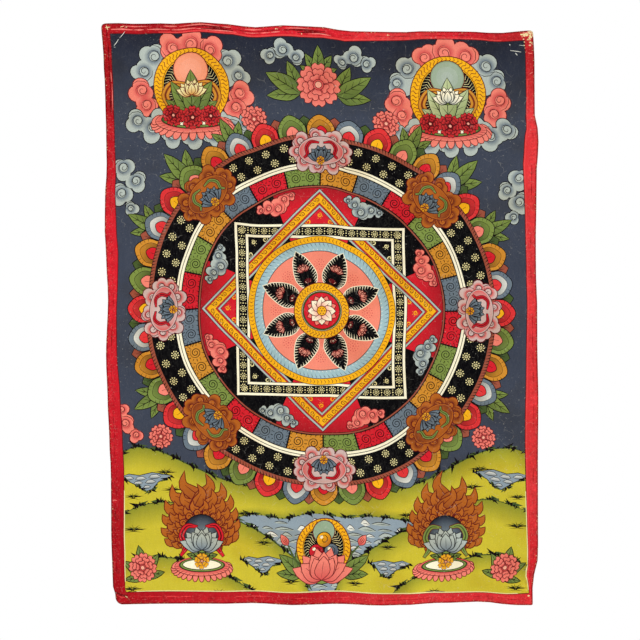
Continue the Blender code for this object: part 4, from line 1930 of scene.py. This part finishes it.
def new_group(name, colours, values, result):
    """Start a node group that reads a place, some colours and some values. It gives a value,
    and a colour if it reads one."""
    tree = bpy.data.node_groups.new(name, "ShaderNodeTree")
    sockets = [("INPUT", "Vector", "Place")] + [("INPUT", "Color", label) for label in colours]
    sockets += [("INPUT", "Float", label) for label in values] + [("OUTPUT", "Float", result)]
    sockets += [("OUTPUT", "Color", label) for label in colours[:1]]
    for way, kind, label in sockets:
        tree.interface.new_socket(label, in_out=way, socket_type="NodeSocket" + kind)
    entry = tree.nodes.new("NodeGroupInput").outputs
    return Bench(tree), entry, entry["Place"], tree.nodes.new("NodeGroupOutput")

# %% [markdown]
# ### Threads of the cotton
# The cotton is a plain weave of hand-spun thread, about eighteen threads to a centimetre.
# Two stretched noises, one along the warp and one along the weft, give threads that are
# never quite even, which a regular wave would miss. A few thick places, the slubs, run
# further along their thread.

# %% The thread group
bench, entry, place, result = new_group("cotton_threads", (), ("Slubs",), "Height")
warp = bench.noise(place, 0.55, 7, 1)
weft = bench.noise(place, 7, 0.55, 1)
thick_warp = bench.patches(0.58, 0.76, place, 1.3, 34)
thick_weft = bench.patches(0.58, 0.76, place, 38, 1.4)
slubs = bench.times(bench.chain("MAXIMUM", thick_warp, thick_weft), entry["Slubs"])
bench.feed(result, {"Height": bench.plus(warp, weft, slubs)})
threads = bench.tree

# %% [markdown]
# ### Paint laid by hand
# A broad brush leaves slow clouds and short streaks, and pigment ground by hand leaves a
# fine grain. On dark paint pale specks and smears are laid over the colour: partly the chalk
# ground showing through, and partly a painted sheen, the grey reflection of dark paint.
# That is why the blue and the black on the real one look dusty.

# %% The brushwork group
bench, entry, place, result = new_group("hand_brushwork", ("Colour",),
                                        ("Clouds", "Streaks", "Grain", "Specks"), "Thickness")
grains = (("Clouds", 62, 48, 3), ("Streaks", 3.2, 15, 3, 0.6), ("Grain", 1, 1, 3))
uneven = bench.plus(*[bench.times(bench.less(bench.noise(place, *grain), 0.5), entry[label])
                      for label, *grain in grains])
shaded = bench.shade(uneven, entry["Colour"])
# Pale grey specks and smears over the paint: dust and the chalk ground, and on dark paint also a painted
# sheen.
specks = bench.patches(0.58, 0.76, place, 1.5, 1.2, 3)
rubbed = bench.patches(0.4, 0.74, place, 3, 7, 3, 0.8)
patches = bench.patches(0.3, 0.66, place, 34, 26, 2)
dust = bench.plus(bench.times(specks, patches), bench.times(rubbed, 0.25))
share = bench.times(dust, entry["Specks"])
dusty = bench.mix(share, shaded, (*srgb(206, 204, 190), 1))
bench.feed(result, {"Colour": dusty, "Thickness": uneven})
brushwork = bench.tree

# %% [markdown]
# ### Age
# Three things happen to such a sheet. Fine cracks open where it was rolled. Small flakes
# fall and bare the ground. Smoke and hands stain it brown in soft patches.

# %% The age group
bench, entry, place, result = new_group("age_of_the_sheet", ("Colour", "Ground"),
                                        ("Cracks", "Flakes", "Stains"), "Loss")
sway = bench.add("TexNoise", {"Vector": place, "Scale": 0.09, "Detail": 2}, noise_dimensions="2D")
sway = bench.add("VectorMath", {0: sway["Color"], "Scale": 9}, operation="SCALE")["Vector"]
bent = bench.add("VectorMath", {0: place, 1: sway}, operation="ADD")["Vector"]
cell = bench.add("TexVoronoi", {"Vector": bent, "Scale": 0.075}, voronoi_dimensions="2D",
                 feature="DISTANCE_TO_EDGE")
line = bench.less(1, bench.between(cell["Distance"], 0.004, 0.02))
broken = bench.patches(0.46, 0.62, place, 8, 8, 2)
crack = bench.times(line, broken, bench.patches(0.44, 0.62, place, 90, 70), entry["Cracks"])
chips = bench.patches(0.7, 0.735, place, 2.6, 2.1, 4, 0.4)
chips = bench.times(chips, bench.patches(0.46, 0.6, place, 55, 40), entry["Flakes"])
loss = bench.chain("MAXIMUM", crack, chips)
stain = bench.times(bench.patches(0.42, 0.74, place, 58, 44, 4), entry["Stains"])
stained = bench.mix(stain, entry["Colour"], (*srgb(222, 198, 160), 1), "MULTIPLY")
bench.feed(result, {"Colour": bench.mix(loss, stained, entry["Ground"]), "Loss": loss})
age = bench.tree

# %% [markdown]
# ### Wear along the margin
# The margin is where the hanging is held. Its red is mottled and scuffed pale, its turned
# edge is darker where the cloth rolls away, a painted shade, and rubbed through in flecks,
# and the upper right corner has lost its paint. The distance from each edge comes straight
# from the map in millimetres, because its two numbers run from edge to edge.

# %% The margin group
bench, entry, place, result = new_group("margin_wear", ("Colour", "Ground"),
                                        ("Mottle", "Flecks", "Corner"), "Loss")
from_left, from_foot = bench.add("SeparateXYZ", {0: place})[:2]
from_right = bench.less(WIDTH, from_left)
from_top = bench.less(HEIGHT, from_foot)
edge = bench.chain("MINIMUM", from_left, from_right, from_foot, from_top)
# The outer 2 mm are darkened: a painted shade where the cloth turns away.
turned = bench.less(1, bench.between(edge, 0.9, 2.3))
mottle = bench.times(bench.less(1, bench.between(edge, 7.5, 10.5)), entry["Mottle"])
uneven = bench.plus(bench.noise(place, 2.4, 2.4, 3), bench.noise(place, 9, 7), -1)
mottled = bench.shade(bench.times(uneven, mottle), entry["Colour"])
scuffs = bench.times(bench.patches(0.58, 0.74, place, 1.9, 1.4, 3), mottle, 0.5)
scuffed = bench.mix(scuffs, mottled, (*srgb(238, 128, 122), 1))
soiled = bench.mix(bench.times(turned, 0.9), scuffed, (*srgb(176, 120, 112), 1), "MULTIPLY")
fine = bench.noise(place, 1.3, 1.3, 3)
near_edge = bench.less(1, bench.between(edge, 0.4, 2.6))
fleck = bench.times(bench.between(fine, 0.6, 0.66), near_edge, entry["Flecks"],
                    bench.patches(0.46, 0.56, place, 14, 14))
squares = bench.plus(bench.times(from_right, from_right), bench.times(from_top, from_top))
ragged = bench.times(bench.less(bench.noise(place, 2.4, 2.4, 4), 0.5), 16)
from_corner = bench.plus(bench.chain("POWER", squares, 0.5), ragged)
bared = bench.patches(0.36, 0.5, place, 1.1, 1.1, 2)
bared = bench.add("MapRange", {"Value": bared, "To Min": 0.15})["Result"]
corner = bench.times(bench.less(1, bench.between(from_corner, 4.6, 6)), bared, entry["Corner"])
loss = bench.chain("MAXIMUM", fleck, corner)
bench.feed(result, {"Colour": bench.mix(loss, soiled, entry["Ground"]), "Loss": loss})
margin = bench.tree
print("node groups:", [tree.name for tree in bpy.data.node_groups])

# %% [markdown]
# ### The painted face
# The colour of each patch comes with the mesh. The material adds what a brush, threads
# and years add to it. The shine is low all over and lowest on bare ground, so only the
# roughness changes, and the threads stand up through a thin coat as a slight bump.

# %% The face's material
def new_material(name, inputs):
    """Start a material; give its bench and its shader too."""
    material = bpy.data.materials.new(name)
    material.use_nodes = True
    bench = Bench(material.node_tree)
    shader = material.node_tree.nodes["Principled BSDF"]
    bench.feed(shader, inputs)
    return material, bench, shader


def cloth_material(name, shine, sheen):
    """A material that reads the sheet's map in millimetres, and the paint on the mesh."""
    looks = {"Specular IOR Level": shine, "Sheen Weight": sheen, "Sheen Roughness": 0.6}
    material, bench, shader = new_material(name, looks)
    flat = bench.add("UVMap", uv_map="Sheet")["UV"]
    place = bench.add("VectorMath", {0: flat, 1: (WIDTH, HEIGHT, 1)}, operation="MULTIPLY")["Vector"]
    paint_on_mesh = bench.add("Attribute", attribute_name="Paint")["Color"]
    return material, bench, shader, place, paint_on_mesh


material, bench, shader, place, colour = cloth_material("painted_face", 0.03, 0)
weave = bench.group(threads, Place=place, Slubs=0.5)
laid_on = bench.group(brushwork, Place=place, Colour=colour, Clouds=0.3, Streaks=0.1, Grain=0.34,
                      Specks=0.045)
worn = bench.group(margin, Place=place, Colour=laid_on["Colour"], Ground=(*BARE_COTTON, 1),
                   Mottle=0.6, Flecks=0.8, Corner=0.9)
aged = bench.group(age, Place=place, Colour=worn["Colour"], Ground=(*srgb(208, 204, 190), 1),
                   Cracks=0.2, Flakes=0.3, Stains=0.35)
loss = bench.chain("MAXIMUM", worn["Loss"], aged["Loss"])
rough = bench.plus(bench.times(laid_on["Thickness"], 0.5), bench.times(loss, 0.12), 0.78)
height = bench.plus(bench.times(weave["Height"], 0.5), bench.times(laid_on["Thickness"], 0.7),
                    bench.times(loss, -0.35))
bump = bench.add("Bump", {"Strength": 0.3, "Distance": 0.0004, "Height": height})["Normal"]
bench.feed(shader, {"Base Color": aged["Colour"], "Roughness": rough, "Normal": bump})
cloth.data.materials.append(material)
print("the face's material has", len(material.node_tree.nodes), "nodes")

# %% [markdown]
# ### The bare back
# The back is the cotton itself, primed and rubbed smooth. It has yellowed, its threads
# and slubs show more than on the face, and the darkest paint shows through it faintly.

# %% The back material
material, bench, shader, place, colour = cloth_material("cotton_back", 0.15, 0.08)
weave = bench.group(threads, Place=place, Slubs=0.7)
yellowed = bench.times(bench.patches(0.3, 0.75, place, 150, 110, 2), 0.4)
tone = bench.mix(yellowed, colour, (*srgb(238, 224, 194), 1), "MULTIPLY")
thread_tone = bench.times(bench.between(weave["Height"], 0.75, 1.8), 0.22)
tone = bench.mix(thread_tone, tone, (*srgb(186, 160, 122), 1), "MULTIPLY")
primed = bench.group(brushwork, Place=place, Colour=tone, Clouds=0.16, Streaks=0.14, Grain=0.16, Specks=0.1)
aged = bench.group(age, Place=place, Colour=primed["Colour"], Ground=(*srgb(150, 120, 84), 1),
                   Cracks=0.12, Flakes=0.12, Stains=0.16)
rough = bench.plus(bench.times(weave["Height"], 0.08), 0.8)
bump = bench.add("Bump", {"Strength": 0.6, "Distance": 0.0005, "Height": weave["Height"]})["Normal"]
bench.feed(shader, {"Base Color": aged["Colour"], "Roughness": rough, "Normal": bump})
cloth.data.materials.append(material)
print("the back's material has", len(material.node_tree.nodes), "nodes")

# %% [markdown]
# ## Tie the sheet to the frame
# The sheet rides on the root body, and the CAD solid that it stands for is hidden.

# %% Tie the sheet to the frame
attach(cloth, "root")
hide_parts("painted_cloth")

# %% [markdown]
# ## Floor, light and camera
# The photograph is taken square on, in light so even that the sheet throws no shadow,
# and the sheet is cut out on white. Big soft lights on both sides give that light. The
# left one is stronger, so that the folds of the margin still show. The room is white to
# the camera and dimmer as a light, because a bright room would wash out the dark paint.

# %% The floor
def pale_floor(name, size, z, colour):
    """A plain round floor below the sheet."""
    bpy.ops.object.select_all(action="DESELECT")
    bpy.ops.mesh.primitive_circle_add(vertices=96, radius=size, fill_type="NGON", location=(0, 0, z))
    floor = bpy.context.active_object
    floor.name = name
    floor.data.materials.append(new_material(name, {"Base Color": (*colour, 1), "Roughness": 0.9})[0])


pale_floor("studio_floor", 1.15, -0.95, (0.93, 0.93, 0.92))

# %% The soft lights
def soft_light(name, place, aim, size, watts):
    """A big flat lamp that faces one point."""
    data = bpy.data.lights.new(name, "AREA")
    data.shape = "RECTANGLE"
    data.size, data.size_y = size
    data.energy = watts
    light = bpy.data.objects.new(name, data)
    light.location = place
    light.rotation_euler = (Vector(aim) - Vector(place)).to_track_quat("-Z", "Y").to_euler()
    bpy.context.scene.collection.objects.link(light)


middle = (0.0, 0.0, -0.3)
soft_light("left_light", (-1.9, -2.0, 0.5), middle, (1.6, 2.2), 54)
soft_light("right_light", (1.9, -2.0, 0.3), middle, (1.6, 2.2), 27)
soft_light("back_light", (0.9, 2.2, 0.7), middle, (1.6, 1.6), 40)

# %% The white room
world = bpy.data.worlds.new("white_room")
world.use_nodes = True
bench = Bench(world.node_tree)
seen = bench.add("LightPath")["Is Camera Ray"]
strength = bench.add("MapRange", {"Value": seen, "To Min": 0.33, "To Max": 1})["Result"]
bench.feed(world.node_tree.nodes["Background"], {"Color": (1, 1, 1, 1), "Strength": strength})
bpy.context.scene.world = world
bpy.context.scene.view_settings.view_transform = "Standard"

# %% The camera
# Square on, at the distance where the sheet fills the frame as in the photograph.
lens = bpy.data.cameras.new("photo_lens")
lens.lens = 85
lens.sensor_width = 36
lens.clip_end = 50
camera = bpy.data.objects.new("photo_camera", lens)
camera.location = (0.00103, -1.5595, -0.3023)
camera.rotation_euler = (pi / 2, 0, 0)
bpy.context.scene.collection.objects.link(camera)
bpy.context.scene.camera = camera
